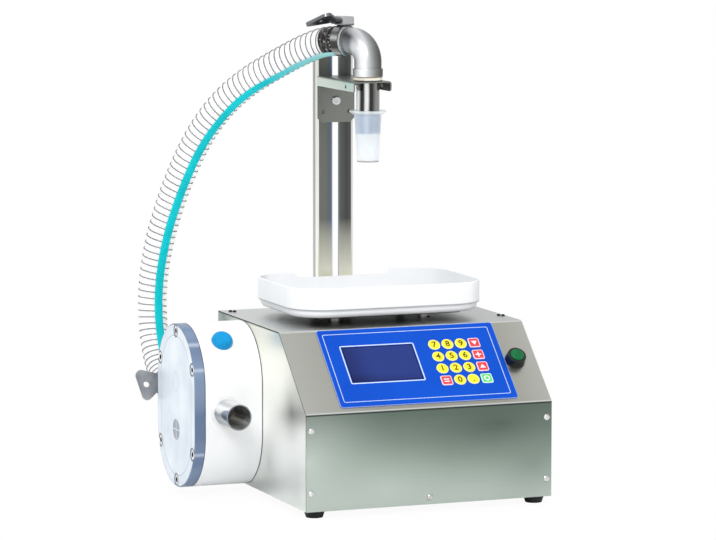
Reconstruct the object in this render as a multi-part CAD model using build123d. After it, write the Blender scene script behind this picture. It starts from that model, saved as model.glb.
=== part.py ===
from build123d import *
import os
from math import acos, asin, atan2, cos, degrees, hypot, pi, radians, sin, sqrt, tan

# Honey filling machine: a sheet metal cabinet with a sloping control panel, a gear pump on
# its left side, a weighing tray on its top, and a post that carries the filling nozzle.
# All sizes are in millimetres. X is to the right, Y to the back and Z up. Every function
# works from the middle of the cabinet's footprint on the floor. The last lines move the
# whole machine, so that the origin lies under the middle of its box, without the hose.

# Clearances
face_gap = 0.3
hole_gap = 0.2
running_gap = 0.05

# Cabinet
cabinet_width = 330.0
cabinet_depth = 328.0
cabinet_height = 212.0
front_height = 121.0
slope_run = 97.0
slope_rise = cabinet_height - front_height
sheet = 1.5
bend_radius = 2.5
panel_flange = 14.0
base_thickness = 2.0
foot_height = 9.0
foot_top_radius = 13.5
foot_bottom_radius = 10.5
foot_inset_x = 17.0
foot_inset_y = 17.0
foot_recess_radius = 5.0
foot_recess_depth = 4.0

# Screws of the cabinet
screw_radius = 2.0
screw_head_radius = 4.4
screw_head_height = 2.0
screw_length = 7.0
front_screw_inset = 7.0
front_screw_low = 23.0
front_screw_high = 101.0
front_screw_middle = 9.0
back_screw_inset = 6.0
louvre_count = 6
louvre_pitch = 9.0
louvre_length = 50.0
louvre_width = 3.0
louvre_inset = 57.5
top_screw_radius = 1.5
top_screw_head = 2.6
top_screw_spacing = 6.0
top_screw_left_inset = 11.0
top_screw_back_inset = 17.0
top_screw_right_inset = 9.0
top_screw_right_y = -15.0

# Control panel on the slope: heights are measured up the slope from its lower edge. The free
# width of the face plate is shared out left of the display, between it and the keys, and right
overlay_left_inset = 48.0
overlay_button_gap = 13.5
overlay_height = 123.6
overlay_thickness = 1.0
overlay_s = 69.6
overlay_corner = 4.0
window_width = 95.0
window_height = 56.0
window_thickness = 3.0
free_share_left = 0.36
free_share_middle = 0.2935
window_s = 74.4
key_columns = 4
key_rows = 4
key_pitch_x = 18.2
key_pitch_s = 19.3
key_first_s = 41.2
key_radius = 7.9
key_square = 15.0
key_square_corner = 2.6
square_keys = (0, 3, 7, 11, 15)
key_flange = 0.7
key_flange_thickness = 0.8
key_proud = 0.9
key_travel = 0.5
key_stem_radius = 2.5
board_depth = 16.0
board_thickness = 1.6
board_width = 214.0
board_nut_gap = 5.25
board_height = 100.0
switch_side = 6.0
switch_height = 5.0
board_post_radius = 3.0

# Start button
button_inset = 29.5
button_s = 68.0
button_bezel_radius = 13.4
button_bezel_height = 11.0
button_bezel_taper = 1.5
button_body_radius = 10.8
button_body_depth = 32.0
button_nut_radius = 14.0
button_nut_thickness = 4.0
button_cap_radius = 8.7
button_cap_proud = 2.2
button_cap_round = 1.5
button_cap_depth = 9.0
button_travel = 3.0

# Weighing scale
scale_y = 48.0
bridge_width = 60.0
bridge_height = 143.0
bridge_sheet = 3.0
bridge_front_reach = 53.0
bridge_back_reach = 97.0
bridge_foot = 16.0
cell_length = 130.0
cell_width = 30.0
cell_height = 22.0
cell_pad = 5.0
cell_pad_length = 32.0
cell_bore_radius = 7.5
cell_bore_spacing = 13.0
spider_length = 150.0
spider_width = 100.0
spider_sheet = 3.0
pillar_radius = 6.0
pillar_x = 60.0
pillar_y = 38.0
pillar_hole_radius = 10.0
platform_gap = 8.0
platform_length = 200.0
platform_width = 142.0
platform_sheet = 3.0
tray_length = 263.0
tray_width = 193.0
tray_height = 38.0
tray_wall = 3.0
tray_corner = 50.0
tray_step_height = 10.0
tray_bottom_round = 7.0
tray_step = 3.0
tray_lip = 3.0
tray_rim_round = 1.2
tray_notch_depth = 8.0
tray_notch_bottom = 120.0
tray_notch_top = 142.0
tray_notch_round = 5.0

# Gear pump
pump_y = 69.0
pump_z = 114.5
pump_width = 150.0
pump_height = 210.0
pump_depth = 76.0
gasket_thickness = 0.8
gasket_land = 25.0
cover_thickness = 13.5
cover_chamfer = 1.2
gear_teeth = 12
gear_centres = 62.0
gear_addendum = 0.9
gear_dedendum = 1.2
gear_width = 50.0
gear_backlash = 0.5
gear_side_gap = 0.3
pressure_angle = 20.0
cavity_gap = 0.4
shaft_radius = 8.0
shaft_pocket = 5.0
shaft_reach = 26.0
journal_length = 14.0
seal_radius = 15.0
seal_length = 8.0
cover_bolt_y = 63.5
cover_bolt_z = 54.0
cover_bolt_top = 96.0
bolt_radius = 4.0
bolt_head_radius = 6.5
bolt_head_height = 8.0
bolt_counterbore = 8.4
bolt_socket = 3.0
bolt_socket_depth = 4.4
bolt_length = 40.0
port_x = 49.0
port_radius = 16.5
port_wall = 1.5
outlet_radius = 16.2
port_seat_radius = 15.9
port_channel_radius = 15.4
port_seat = 15.0
port_reach = 50.0
port_shoulder_gap = 0.1
port_boss_radius = 21.5
port_boss_height = 3.0
plug_angle = 49.0
plug_x = 45.0
plug_radius = 13.5
plug_height = 8.0
plug_round = 6.4
plug_stem_radius = 9.0
plug_stem_length = 12.0
plug_sink = 1.5

# Gearmotor
gearbox_side = 90.0
gearbox_length = 62.0
motor_radius = 42.0
motor_length = 120.0
motor_cap_radius = 38.0
motor_cap_length = 14.0
gearbox_corner = 8.0
gearbox_shaft_depth = 40.0

# Electronics
supply_length = 150.0
supply_width = 95.0
supply_height = 38.0
supply_inset = 25.5
supply_y = 0.0
inlet_module_width = 28.0
inlet_module_height = 58.0
inlet_module_depth = 30.0
inlet_module_flange = 5.0
inlet_module_inset = 47.0
inlet_module_z = 60.0
socket_width = 20.0
socket_height = 24.0
socket_depth = 16.0
pin_width = 2.0
pin_height = 4.0
pin_places = ((-5.0, -2.0), (5.0, -2.0), (0.0, 3.0))
pin_short = 2.0
rocker_width = 14.0
rocker_height = 20.0
rocker_depth = 9.0
rocker_rise = 20.0
socket_drop = 14.0
rocker_axle_radius = 1.5
rocker_tilt = 10.0

# Post and nozzle bracket
post_width = 50.0
post_depth = 18.0
post_sheet = 2.0
post_bend = 1.9
post_top = 566.0
post_plate_drop = 31.0
post_plate_width = 80.0
post_plate_height = 120.0
post_plate_thickness = 3.0
post_screw_x = 33.0
post_screw_z = 45.0
slot_width = 8.6
slot_bottom = 240.0
slot_end_gap = 9.0
bracket_width = 52.0
bracket_sheet = 2.0
bracket_top = 524.0
bracket_bottom = 462.5
bracket_reach = 134.0
bracket_flange = 13.0
bracket_chamfer = 6.0
bracket_front_round = 3.6
bracket_bend = 3.5
bracket_hole_radius = 2.6
bracket_hole_x = 18.4
bracket_hole_z = 476.6
flange_hole_inset = 29.0
clamp_bolt_z = 491.0
clamp_bolt_radius = 4.0
clamp_bolt_head = 6.0
clamp_bolt_head_height = 3.0
clamp_bolt_head_round = 1.8
clamp_bolt_slot = 1.4
clamp_bolt_length = 28.0
knob_radius = 15.0
knob_length = 16.0
knob_lobes = 6
knob_dent_radius = 4.5
knob_dent_place = 16.8
knob_hub_radius = 8.0
knob_hub_length = 4.0

# Nozzle
nozzle_y = 50.0
elbow_z = 574.0
elbow_radius = 17.5
elbow_wall = 3.5
elbow_lip_width = 3.0
elbow_lip_height = 1.0
elbow_bend = 26.0
elbow_leg = 33.0
elbow_turn = 62.0
collar_radius = 19.2
collar_height = 10.0
spigot_radius = 16.5
spigot_length = 32.0
spigot_seat = 16.0
spigot_tip_radius = 14.8
spigot_wall = 2.0
ring_radius = 18.5
ring_height = 6.0
pipe_radius = 15.0
pipe_wall = 1.5
pipe_bottom = 458.0
pipe_seat = 8.0
tip_flange_radius = 24.0
tip_flange_z = 480.0
tip_flange_thickness = 6.0
tip_rim = 1.8
tip_top_radius = 17.6
tip_bottom_radius = 14.0
tip_bottom = 420.0
tip_wall = 1.6
tip_mouth = 12.0

# Hose and its clamps
hose_radius = 19.8
hose_bore_radius = 16.7
hose_arc_share = 0.45
hose_straight = 33.0
band_thickness = 0.8
band_width = 12.0
band_gap = 0.15
band_place = 8.0
lower_band_place = 12.0
upper_clamp_roll = 3.0
lower_clamp_roll = -13.0
upper_key_turn = 22.0
lower_key_turn = -70.0
worm_length = 22.0
worm_width = 14.0
worm_height = 11.0
worm_corner = 3.3
worm_screw_past = 2.0
worm_screw_radius = 3.4
worm_head_radius = 5.0
key_neck_width = 13.0
wing_start = 23.0
wing_length = 34.0
wing_width = 50.0
wing_thickness = 4.0
wing_hole_radius = 4.0
wing_hole_place = 24.0
wing_root = 6.0
wing_corner = 7.0

# Route of the hose, from the elbow over the back and down to the pump's rear port.
# The two points at each end are worked out from the elbow and the port.
hose_middle = [
    (-50.0, 137.3, 563.0),
    (-76.0, 171.5, 542.5),
    (-106.0, 206.0, 517.5),
    (-131.5, 230.6, 489.5),
    (-154.0, 250.7, 453.0),
    (-173.0, 267.0, 408.5),
    (-189.5, 280.2, 358.0),
    (-203.5, 290.5, 303.0),
    (-211.8, 295.5, 246.0),
    (-213.9, 291.0, 193.0),
    (-214.0, 273.5, 153.5),
    (-213.8, 246.5, 127.0),
    (-214.0, 213.7, 114.9),
]

# Places that follow from the sizes above
half_width = cabinet_width / 2
half_depth = cabinet_depth / 2
cabinet_top = foot_height + cabinet_height
slope_angle = atan2(slope_rise, slope_run)
slope_plane = Plane(
    origin=(0, -half_depth, foot_height + front_height),
    x_dir=(1, 0, 0),
    z_dir=(0, -sin(slope_angle), cos(slope_angle)),
)
button_x = half_width - button_inset
overlay_left = -half_width + overlay_left_inset
overlay_width = button_x - overlay_button_gap - overlay_left
overlay_x = overlay_left + overlay_width / 2
keys_width = (key_columns - 1) * key_pitch_x + 2 * key_radius
free_width = overlay_width - window_width - keys_width
window_x = overlay_left + free_width * free_share_left + window_width / 2
key_first_x = window_x + window_width / 2 + free_width * free_share_middle + key_radius
supply_x = half_width - supply_inset - supply_width / 2
inlet_module_x = half_width - inlet_module_inset
post_bottom = cabinet_top - post_plate_drop - post_plate_height
foot_x = half_width - foot_inset_x
foot_y = half_depth - foot_inset_y
port_axis_x = -half_width - port_x
pump_face_x = -half_width - pump_depth
cover_inner_x = pump_face_x - gasket_thickness
cover_outer_x = cover_inner_x - cover_thickness
gear_module = gear_centres / gear_teeth
gear_pitch_radius = gear_centres / 2
gear_tip_radius = gear_pitch_radius + gear_addendum * gear_module
gear_root_radius = gear_pitch_radius - gear_dedendum * gear_module
cavity_radius = gear_tip_radius + cavity_gap
cavity_depth = gear_width + 2 * gear_side_gap - gasket_thickness
drive_z = pump_z - gear_centres / 2
driven_z = pump_z + gear_centres / 2
gear_centre_x = cover_inner_x + gear_side_gap + gear_width / 2
port_front_y = pump_y - pump_width / 2
port_back_y = pump_y + pump_width / 2
post_front_y = half_depth + post_plate_thickness
bracket_front_y = post_front_y - bracket_reach
elbow_end = Vector(
    -elbow_leg * cos(radians(elbow_turn)),
    nozzle_y + elbow_leg * sin(radians(elbow_turn)),
    elbow_z,
)
elbow_out = Vector(-cos(radians(elbow_turn)), sin(radians(elbow_turn)), 0)
hose_end = Vector(port_axis_x, port_back_y + port_boss_height + face_gap, pump_z)
hose_start = elbow_end + elbow_out * face_gap
hose_route = [
    hose_start,
    hose_start + elbow_out * hose_straight,
    *[Vector(*point) for point in hose_middle],
    hose_end + Vector(0, hose_straight, 0),
    hose_end,
]
platform_z = cabinet_top + platform_gap
tray_z = platform_z + platform_sheet
spider_z = foot_height + base_thickness + bridge_height + bridge_sheet + 2 * cell_pad + cell_height
key_positions = [
    (key_first_x + column * key_pitch_x, key_first_s + row * key_pitch_s)
    for row in range(key_rows)
    for column in range(key_columns)
]
front_screws = [
    (-half_width + front_screw_inset, front_screw_low),
    (-half_width + front_screw_inset, front_screw_high),
    (half_width - front_screw_inset, front_screw_low),
    (half_width - front_screw_inset, front_screw_high),
    (0, front_screw_middle),
]
back_screws = [
    (side * (half_width - sheet - back_screw_inset), height)
    for side in (-1, 1)
    for height in (front_screw_low, cabinet_height - front_screw_low)
]
post_screws = [
    (side * post_screw_x, post_bottom + post_plate_height / 2 + rise * post_screw_z)
    for side in (-1, 1)
    for rise in (-1, 1)
]
pillars = [(x * pillar_x, scale_y + y * pillar_y) for x in (-1, 1) for y in (-1, 1)]
feet = [(x * foot_x, y * foot_y) for x in (-1, 1) for y in (-1, 1)]
cover_bolts_yz = [
    (pump_y + y * cover_bolt_y, pump_z + z * cover_bolt_z) for y in (-1, 1) for z in (-1, 1)
] + [(pump_y, pump_z - cover_bolt_top), (pump_y, pump_z + cover_bolt_top)]


def along_x(radius, x_start, x_end, y, z):
    # Round bar along X between two places
    length = x_end - x_start
    return Pos((x_start + x_end) / 2, y, z) * Rot(0, 90, 0) * Cylinder(radius, length)


def along_y(radius, y_start, y_end, x, z):
    # Round bar along Y between two places
    length = y_end - y_start
    return Pos(x, (y_start + y_end) / 2, z) * Rot(90, 0, 0) * Cylinder(radius, length)


def along_z(radius, z_start, z_end, x, y):
    # Round bar along Z between two places
    length = z_end - z_start
    return Pos(x, y, (z_start + z_end) / 2) * Cylinder(radius, length)


def block(x_range, y_range, z_range):
    # Box between two corners
    sizes = [high - low for low, high in (x_range, y_range, z_range)]
    middles = [(high + low) / 2 for low, high in (x_range, y_range, z_range)]
    return Pos(*middles) * Box(*sizes)


def on_slope(shape, x, s, n):
    # Puts a shape made about its own origin on the control slope, n above the sheet
    return slope_plane.location * Pos(x, s, n) * shape


def cabinet_outline(inset, radius):
    # Side view of the cabinet, moved inwards by inset, with its two bends rounded
    corner_s = inset * (1 - sin(slope_angle)) / cos(slope_angle)
    front_y = -half_depth + inset
    bend_z = foot_height + front_height - corner_s
    slope_drop = (slope_rise - inset) * cos(slope_angle) + inset
    top_y = -half_depth + slope_drop / sin(slope_angle)
    top_z = cabinet_top - inset
    points = [
        (front_y, foot_height),
        (front_y, bend_z),
        (top_y, top_z),
        (half_depth - inset, top_z),
        (half_depth - inset, foot_height),
    ]
    face = make_face(Polyline(*points, close=True))
    if radius > 0:
        bends = [v for v in face.vertices() if hypot(v.X - front_y, v.Y - bend_z) < 1e-3]
        bends += [v for v in face.vertices() if hypot(v.X - top_y, v.Y - top_z) < 1e-3]
        face = fillet(bends, radius)
    return Plane.YZ * face


def make_cabinet_shell():
    # One sheet bent into top, slope and front, as wide as the cabinet
    outer = extrude(cabinet_outline(0, bend_radius), amount=half_width, both=True)
    inner = extrude(cabinet_outline(sheet, bend_radius - sheet), amount=half_width + 1, both=True)
    shell = outer - inner
    back_cut = block(
        (-half_width - 1, half_width + 1),
        (half_depth - sheet, half_depth + 1),
        (foot_height - 1, cabinet_top - sheet),
    )
    shell -= back_cut
    window = Box(window_width + 2 * hole_gap, window_height + 2 * hole_gap, 4 * sheet)
    shell -= on_slope(window, window_x, window_s, 0)
    for index in range(len(key_positions)):
        shell -= key_on_slope(key_prism(index, key_flange + hole_gap, -2 * sheet, 2 * sheet), index)
    shell -= on_slope(Cylinder(button_body_radius + hole_gap, 4 * sheet), button_x, button_s, 0)
    for x, y in pillars:
        shell -= along_z(pillar_hole_radius, cabinet_top - 2 * sheet, cabinet_top + 1, x, y)
    for x, z in front_screws:
        screw_z = foot_height + z
        shell -= along_y(screw_radius + hole_gap, -half_depth - 1, -half_depth + 2 * sheet, x, screw_z)
    for x, y in top_screw_places():
        shell -= along_z(top_screw_radius + hole_gap, cabinet_top - 2 * sheet, cabinet_top + 1, x, y)
    return shell


def top_screw_places():
    # Two pairs of small screws on the cabinet's top
    places = []
    left = (-half_width + top_screw_left_inset, half_depth - top_screw_back_inset)
    right = (half_width - top_screw_right_inset, top_screw_right_y)
    for x, y in (left, right):
        places += [(x, y), (x + top_screw_spacing * 0.7, y - top_screw_spacing * 0.7)]
    return places


def make_side_panel(side):
    # Side sheet that fits inside the bent sheet, with folded flanges for the screws
    outline = cabinet_outline(sheet + face_gap, 0)
    panel = Pos(side * (half_width - sheet / 2), 0, 0) * extrude(outline, amount=sheet / 2, both=True)
    inner_x = half_width - sheet
    x_range = sorted((side * inner_x, side * (inner_x - panel_flange)))
    front_y = -half_depth + sheet + face_gap
    flange_top = foot_height + front_height - panel_flange / 2
    panel += block(x_range, (front_y, front_y + sheet), (foot_height, flange_top))
    back_y = half_depth - sheet - face_gap
    back_top = cabinet_top - sheet - face_gap
    panel += block(x_range, (back_y - sheet, back_y), (foot_height, back_top))
    for x, z in front_screws[:4]:
        panel -= along_y(screw_radius + hole_gap, front_y - 1, front_y + 2 * sheet, x, foot_height + z)
    for x, z in back_screws:
        panel -= along_y(screw_radius + hole_gap, back_y - 2 * sheet, back_y + 1, x, foot_height + z)
    if side < 0:
        panel -= along_x(seal_radius + 1, -half_width - 1, -half_width + 2 * sheet, pump_y, drive_z)
    return panel


def make_back_panel():
    # Flat sheet at the back, between the bent sheet's edges
    back = block(
        (-half_width, half_width),
        (half_depth - sheet, half_depth),
        (foot_height, cabinet_top - sheet - face_gap),
    )
    screw_hole = screw_radius + hole_gap
    for x, z in back_screws:
        back -= along_y(screw_hole, half_depth - 2 * sheet, half_depth + 1, x, foot_height + z)
    for x, z in post_screws:
        back -= along_y(screw_hole, half_depth - 2 * sheet, half_depth + 1, x, z)
    module_hole = Box(inlet_module_width + 2 * hole_gap, 4 * sheet, inlet_module_height + 2 * hole_gap)
    back -= Pos(inlet_module_x, half_depth, inlet_module_z) * module_hole
    outline = SlotOverall(louvre_length, louvre_width)
    louvre = Rot(90, 0, 0) * extrude(outline, amount=2 * sheet, both=True)
    for index in range(louvre_count):
        louvre_z = foot_height + cabinet_height / 2 + index * louvre_pitch
        back -= Pos(-half_width + louvre_inset, half_depth, louvre_z) * louvre
    return back


def make_base_plate():
    # Floor of the cabinet, which the feet, the supply and the scale's bridge stand on
    edge = sheet + face_gap + sheet + face_gap
    plate = block(
        (-half_width + sheet + face_gap, half_width - sheet - face_gap),
        (-half_depth + edge, half_depth - edge),
        (foot_height, foot_height + base_thickness),
    )
    lip_depth = 2 * front_screw_middle
    lip_y = -half_depth + sheet + face_gap
    lip_x = half_width - sheet - panel_flange - face_gap
    lip = block((-lip_x, lip_x), (lip_y, lip_y + edge), (foot_height, foot_height + lip_depth))
    screw_x, screw_z = front_screws[4]
    lip -= along_y(screw_radius + hole_gap, lip_y - 1, lip_y + 2 * edge, screw_x, foot_height + screw_z)
    plate += lip
    for x, y in feet:
        plate -= along_z(screw_radius + hole_gap, foot_height - 1, foot_height + 2 * base_thickness, x, y)
    return plate


def make_screw(head_radius, radius, length):
    # Pan head screw with a cross recess, its head above Z = 0
    profile = Polyline((0, -length), (radius, -length), (radius, 0), (head_radius, 0))
    dome = ThreePointArc(
        (head_radius, 0),
        (head_radius * 0.8, screw_head_height * 0.75),
        (0, screw_head_height),
    )
    close = Line((0, screw_head_height), (0, -length))
    screw = revolve(Plane.XZ * make_face([profile, dome, close]), Axis.Z)
    slot = Box(head_radius * 1.1, head_radius * 0.22, screw_head_height)
    recess = slot + Rot(0, 0, 90) * slot
    return screw - Pos(0, 0, screw_head_height) * recess


def make_panel_screws():
    # Cabinet screws: front, back, post plate and feet, all of one kind, and four small ones on top
    screw = make_screw(screw_head_radius, screw_radius, screw_length)
    screws = []
    for x, z in front_screws:
        screws.append(Pos(x, -half_depth, foot_height + z) * Rot(90, 0, 0) * screw)
    for x, z in back_screws:
        screws.append(Pos(x, half_depth, foot_height + z) * Rot(-90, 0, 0) * screw)
    for x, z in post_screws:
        screws.append(Pos(x, half_depth + post_plate_thickness, z) * Rot(-90, 0, 0) * screw)
    for x, y in feet:
        screws.append(Pos(x, y, foot_recess_depth) * Rot(180, 0, 0) * screw)
    small = make_screw(top_screw_head, top_screw_radius, screw_length)
    for x, y in top_screw_places():
        screws.append(Pos(x, y, cabinet_top) * small)
    return screws


def make_feet():
    # Four tapered rubber feet, each with a recess for its screw
    cone = Pos(0, 0, foot_height / 2) * Cone(foot_bottom_radius, foot_top_radius, foot_height)
    recess = along_z(foot_recess_radius, -1, foot_recess_depth, 0, 0)
    hole = along_z(screw_radius + hole_gap, 0, foot_height + 1, 0, 0)
    foot = cone - recess - hole
    return [Pos(x, y, 0) * foot for x, y in feet]


def make_control_overlay():
    # Blue face plate on the slope with openings for the display and the keys
    outline = RectangleRounded(overlay_width, overlay_height, overlay_corner)
    plate = on_slope(extrude(outline, amount=overlay_thickness), overlay_x, overlay_s, 0)
    window = Box(window_width + 2 * hole_gap, window_height + 2 * hole_gap, 4 * overlay_thickness)
    plate -= on_slope(window, window_x, window_s, 0)
    for index in range(len(key_positions)):
        plate -= key_on_slope(key_prism(index, hole_gap, -sheet, 2 * overlay_thickness), index)
    return plate


def make_display_window():
    # Dark pane of the display, flush with the face plate
    pane = Box(window_width, window_height, window_thickness)
    return on_slope(pane, window_x, window_s, overlay_thickness - window_thickness / 2)


def key_prism(index, grown, n_low, n_high):
    # Upright solid with a key's outline, round or square, grown outwards on every side
    if index in square_keys:
        side = key_square + 2 * grown
        outline = RectangleRounded(side, side, key_square_corner + grown)
    else:
        outline = Circle(key_radius + grown)
    return Pos(0, 0, n_low) * extrude(outline, amount=n_high - n_low)


def key_on_slope(shape, index):
    # Puts a key's shape at its place on the slope
    x, s = key_positions[index]
    return on_slope(shape, x, s, 0)


def make_key(index):
    # Key that stands a little out of the face plate, with a flange under it and a stem
    head = key_prism(index, 0, -sheet, overlay_thickness + key_proud)
    head = fillet(head.edges().group_by(Axis.Z)[-1], key_proud / 2)
    flange = key_prism(index, key_flange, -sheet, key_flange_thickness - sheet)
    stem_length = board_depth - sheet - switch_height - key_travel - face_gap
    stem = along_z(key_stem_radius, -sheet - stem_length, -sheet, 0, 0)
    return key_on_slope(head + flange + stem, index)


def make_control_board():
    # Circuit board under the slope with the display block, one switch for each key and its posts
    board = Box(board_width, board_height, board_thickness)
    middle_x = button_x - button_nut_radius - board_nut_gap - board_width / 2
    board = on_slope(board, middle_x, overlay_s, -board_depth - board_thickness / 2)
    block_top = overlay_thickness - window_thickness
    display = Box(window_width - 4, window_height - 4, board_depth + block_top)
    board += on_slope(display, window_x, window_s, (block_top - board_depth) / 2)
    for x, s in key_positions:
        switch = Box(switch_side, switch_side, switch_height)
        board += on_slope(switch, x, s, -board_depth + switch_height / 2)
    post_length = board_depth - sheet
    for side_x in (-1, 1):
        for side_s in (-1, 1):
            post = Cylinder(board_post_radius, post_length)
            post_x = middle_x + side_x * (board_width / 2 - 2 * board_post_radius)
            post_s = overlay_s + side_s * (board_height / 2 - 2 * board_post_radius)
            board += on_slope(post, post_x, post_s, -sheet - post_length / 2)
    return board


def make_start_button_housing():
    # Black bezel, threaded body and nut of the push button
    bezel = Cone(button_bezel_radius, button_bezel_radius - button_bezel_taper, button_bezel_height)
    housing = Pos(0, 0, button_bezel_height / 2) * bezel
    housing += Pos(0, 0, -button_body_depth / 2) * Cylinder(button_body_radius, button_body_depth)
    nut = Cylinder(button_nut_radius, button_nut_thickness)
    housing += Pos(0, 0, -sheet - button_nut_thickness / 2) * nut
    well = button_cap_depth + button_travel + face_gap
    housing -= Pos(0, 0, button_bezel_height - well / 2 + 1) * Cylinder(
        button_cap_radius + hole_gap, well + 2
    )
    return on_slope(housing, button_x, button_s, 0)


def make_start_button_cap():
    # Green cap that travels into the bezel
    height = button_cap_depth + button_cap_proud
    cap = extrude(Circle(button_cap_radius), amount=height)
    cap = fillet(cap.edges().group_by(Axis.Z)[-1], button_cap_round)
    return on_slope(cap, button_x, button_s, button_bezel_height - button_cap_depth)


def make_scale_bridge():
    # Steel strip over the gearmotor that carries the load cell
    floor_z = foot_height + base_thickness
    top_z = floor_z + bridge_height
    front_y = scale_y - bridge_front_reach
    back_y = scale_y + bridge_back_reach
    x_range = (-bridge_width / 2 - cell_length / 4, bridge_width / 2)
    bridge = block(x_range, (front_y, back_y), (top_z, top_z + bridge_sheet))
    for y_start, outward in ((front_y, -1), (back_y - bridge_sheet, 1)):
        bridge += block(x_range, (y_start, y_start + bridge_sheet), (floor_z, top_z))
        foot_y_range = sorted((y_start, y_start + outward * bridge_foot))
        foot_y_range[1] += bridge_sheet
        bridge += block(x_range, foot_y_range, (floor_z, floor_z + bridge_sheet))
    pad_x = -cell_length / 2
    pad_z = top_z + bridge_sheet
    bridge += block(
        (pad_x, pad_x + cell_pad_length),
        (scale_y - cell_width / 2, scale_y + cell_width / 2),
        (pad_z, pad_z + cell_pad),
    )
    bridge += block(
        (pad_x, x_range[0] + 1),
        (scale_y - cell_width / 2, scale_y + cell_width / 2),
        (top_z, top_z + bridge_sheet),
    )
    return bridge


def make_load_cell():
    # Aluminium bar with two joined holes, held at its left end and loaded at its right end
    bar_z = foot_height + base_thickness + bridge_height + bridge_sheet + cell_pad + cell_height / 2
    bar = Pos(0, scale_y, bar_z) * Box(cell_length, cell_width, cell_height)
    for side in (-1, 1):
        bar -= along_y(
            cell_bore_radius,
            scale_y - cell_width,
            scale_y + cell_width,
            side * cell_bore_spacing,
            bar_z,
        )
    bar -= block(
        (-cell_bore_spacing, cell_bore_spacing),
        (scale_y - cell_width, scale_y + cell_width),
        (bar_z - cell_bore_radius / 3, bar_z + cell_bore_radius / 3),
    )
    return bar


def make_load_spider():
    # Plate on the load cell's free end with four pillars that reach through the cabinet's top
    plate = block(
        (-spider_length / 2, spider_length / 2),
        (scale_y - spider_width / 2, scale_y + spider_width / 2),
        (spider_z, spider_z + spider_sheet),
    )
    plate += block(
        (cell_length / 2 - cell_pad_length, cell_length / 2),
        (scale_y - cell_width / 2, scale_y + cell_width / 2),
        (spider_z - cell_pad, spider_z),
    )
    for x, y in pillars:
        plate += along_z(pillar_radius, spider_z + spider_sheet, platform_z, x, y)
    return plate


def make_weighing_platform():
    # Flat plate that the pillars carry and the tray rests on
    outline = RectangleRounded(platform_length, platform_width, pillar_radius)
    return Pos(0, scale_y, platform_z) * extrude(outline, amount=platform_sheet)


def tray_section(inset, corner):
    # Rounded rectangle of the tray, moved inwards
    return RectangleRounded(tray_length - 2 * inset, tray_width - 2 * inset, corner)


def tray_notch():
    # Shallow dip in the middle of the rear wall, measured from the rim
    outline = Polyline(
        (-tray_notch_bottom / 2, -tray_notch_depth),
        (tray_notch_bottom / 2, -tray_notch_depth),
        (tray_notch_top / 2, 0),
        (tray_notch_top / 2, tray_notch_depth),
        (-tray_notch_top / 2, tray_notch_depth),
        (-tray_notch_top / 2, 0),
        close=True,
    )
    dip = make_face(outline)
    dip = fillet(dip.vertices().group_by(Axis.Y)[0], tray_notch_round)
    return extrude(Plane.XZ * dip, amount=2 * tray_wall, both=True)


def make_tray():
    # Shallow plastic tray with a narrower foot and a thicker rim
    foot = extrude(tray_section(tray_step, tray_corner - tray_step), amount=tray_step_height)
    body = Pos(0, 0, tray_step_height) * extrude(
        tray_section(0, tray_corner), amount=tray_height - tray_step_height
    )
    tray = foot + body
    tray = fillet(tray.edges().group_by(Axis.Z)[0], tray_bottom_round)
    inner_inset = tray_step + tray_wall
    hollow = extrude(tray_section(inner_inset, tray_corner - inner_inset), amount=tray_step_height)
    hollow = fillet(hollow.edges().group_by(Axis.Z)[0], tray_bottom_round - tray_wall)
    hollow = Pos(0, 0, tray_wall) * hollow
    upper = Pos(0, 0, tray_step_height + tray_wall) * extrude(
        tray_section(tray_lip, tray_corner - tray_lip), amount=tray_height
    )
    tray -= hollow + upper
    rim = tray.edges().group_by(Axis.Z)[-1]
    tray = fillet(rim, tray_rim_round)
    tray -= Pos(0, tray_width / 2, tray_height) * tray_notch()
    return Pos(0, scale_y, tray_z) * tray


def pump_outline(inset):
    # Upright stadium shape of the pump in its side view
    shape = SlotOverall(pump_height - 2 * inset, pump_width - 2 * inset, rotation=90)
    return Plane.YZ * Pos(pump_y, pump_z) * shape


def make_pump_housing():
    # White plastic body with the gear chamber, two port seats and a ring round each port
    body = Pos(-half_width, 0, 0) * extrude(pump_outline(0), amount=-pump_depth)
    for z in (drive_z, driven_z):
        body -= along_x(cavity_radius, pump_face_x - 1, pump_face_x + cavity_depth, pump_y, z)
    boss_reach = cavity_radius + 2
    boss_front = port_front_y - port_boss_height
    boss_back = port_back_y + port_boss_height
    body += along_y(port_boss_radius, boss_front, pump_y - boss_reach, port_axis_x, pump_z)
    body += along_y(port_boss_radius, pump_y + boss_reach, boss_back, port_axis_x, pump_z)
    seat_radius = port_seat_radius + hole_gap
    for y_out, inward in ((port_front_y, 1), (port_back_y, -1)):
        seat = sorted((y_out - inward * 2 * port_boss_height, y_out + inward * port_seat))
        body -= along_y(seat_radius, seat[0], seat[1], port_axis_x, pump_z)
    body -= along_y(port_channel_radius, port_front_y, port_back_y, port_axis_x, pump_z)
    shaft_hole = shaft_radius + running_gap
    body -= along_x(shaft_hole, pump_face_x, -half_width + 1, pump_y, drive_z)
    body -= along_x(seal_radius + hole_gap, -half_width - seal_length, -half_width + 1, pump_y, drive_z)
    journal_end = pump_face_x + cavity_depth + journal_length + face_gap
    body -= along_x(shaft_hole, pump_face_x, journal_end, pump_y, driven_z)
    for y, z in cover_bolts_yz:
        body -= along_x(bolt_radius + hole_gap, pump_face_x - 1, pump_face_x + bolt_length, y, z)
    plug_y, plug_z, plug_turn = plug_place()
    plug_hole = along_z(plug_stem_radius + hole_gap, -plug_stem_length - 1, 1, 0, 0)
    plug_hole += along_z(plug_radius + hole_gap, -plug_sink, plug_sink, 0, 0)
    body -= Pos(-half_width - plug_x, plug_y, plug_z) * Rot(plug_turn, 0, 0) * plug_hole
    return body


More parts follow.
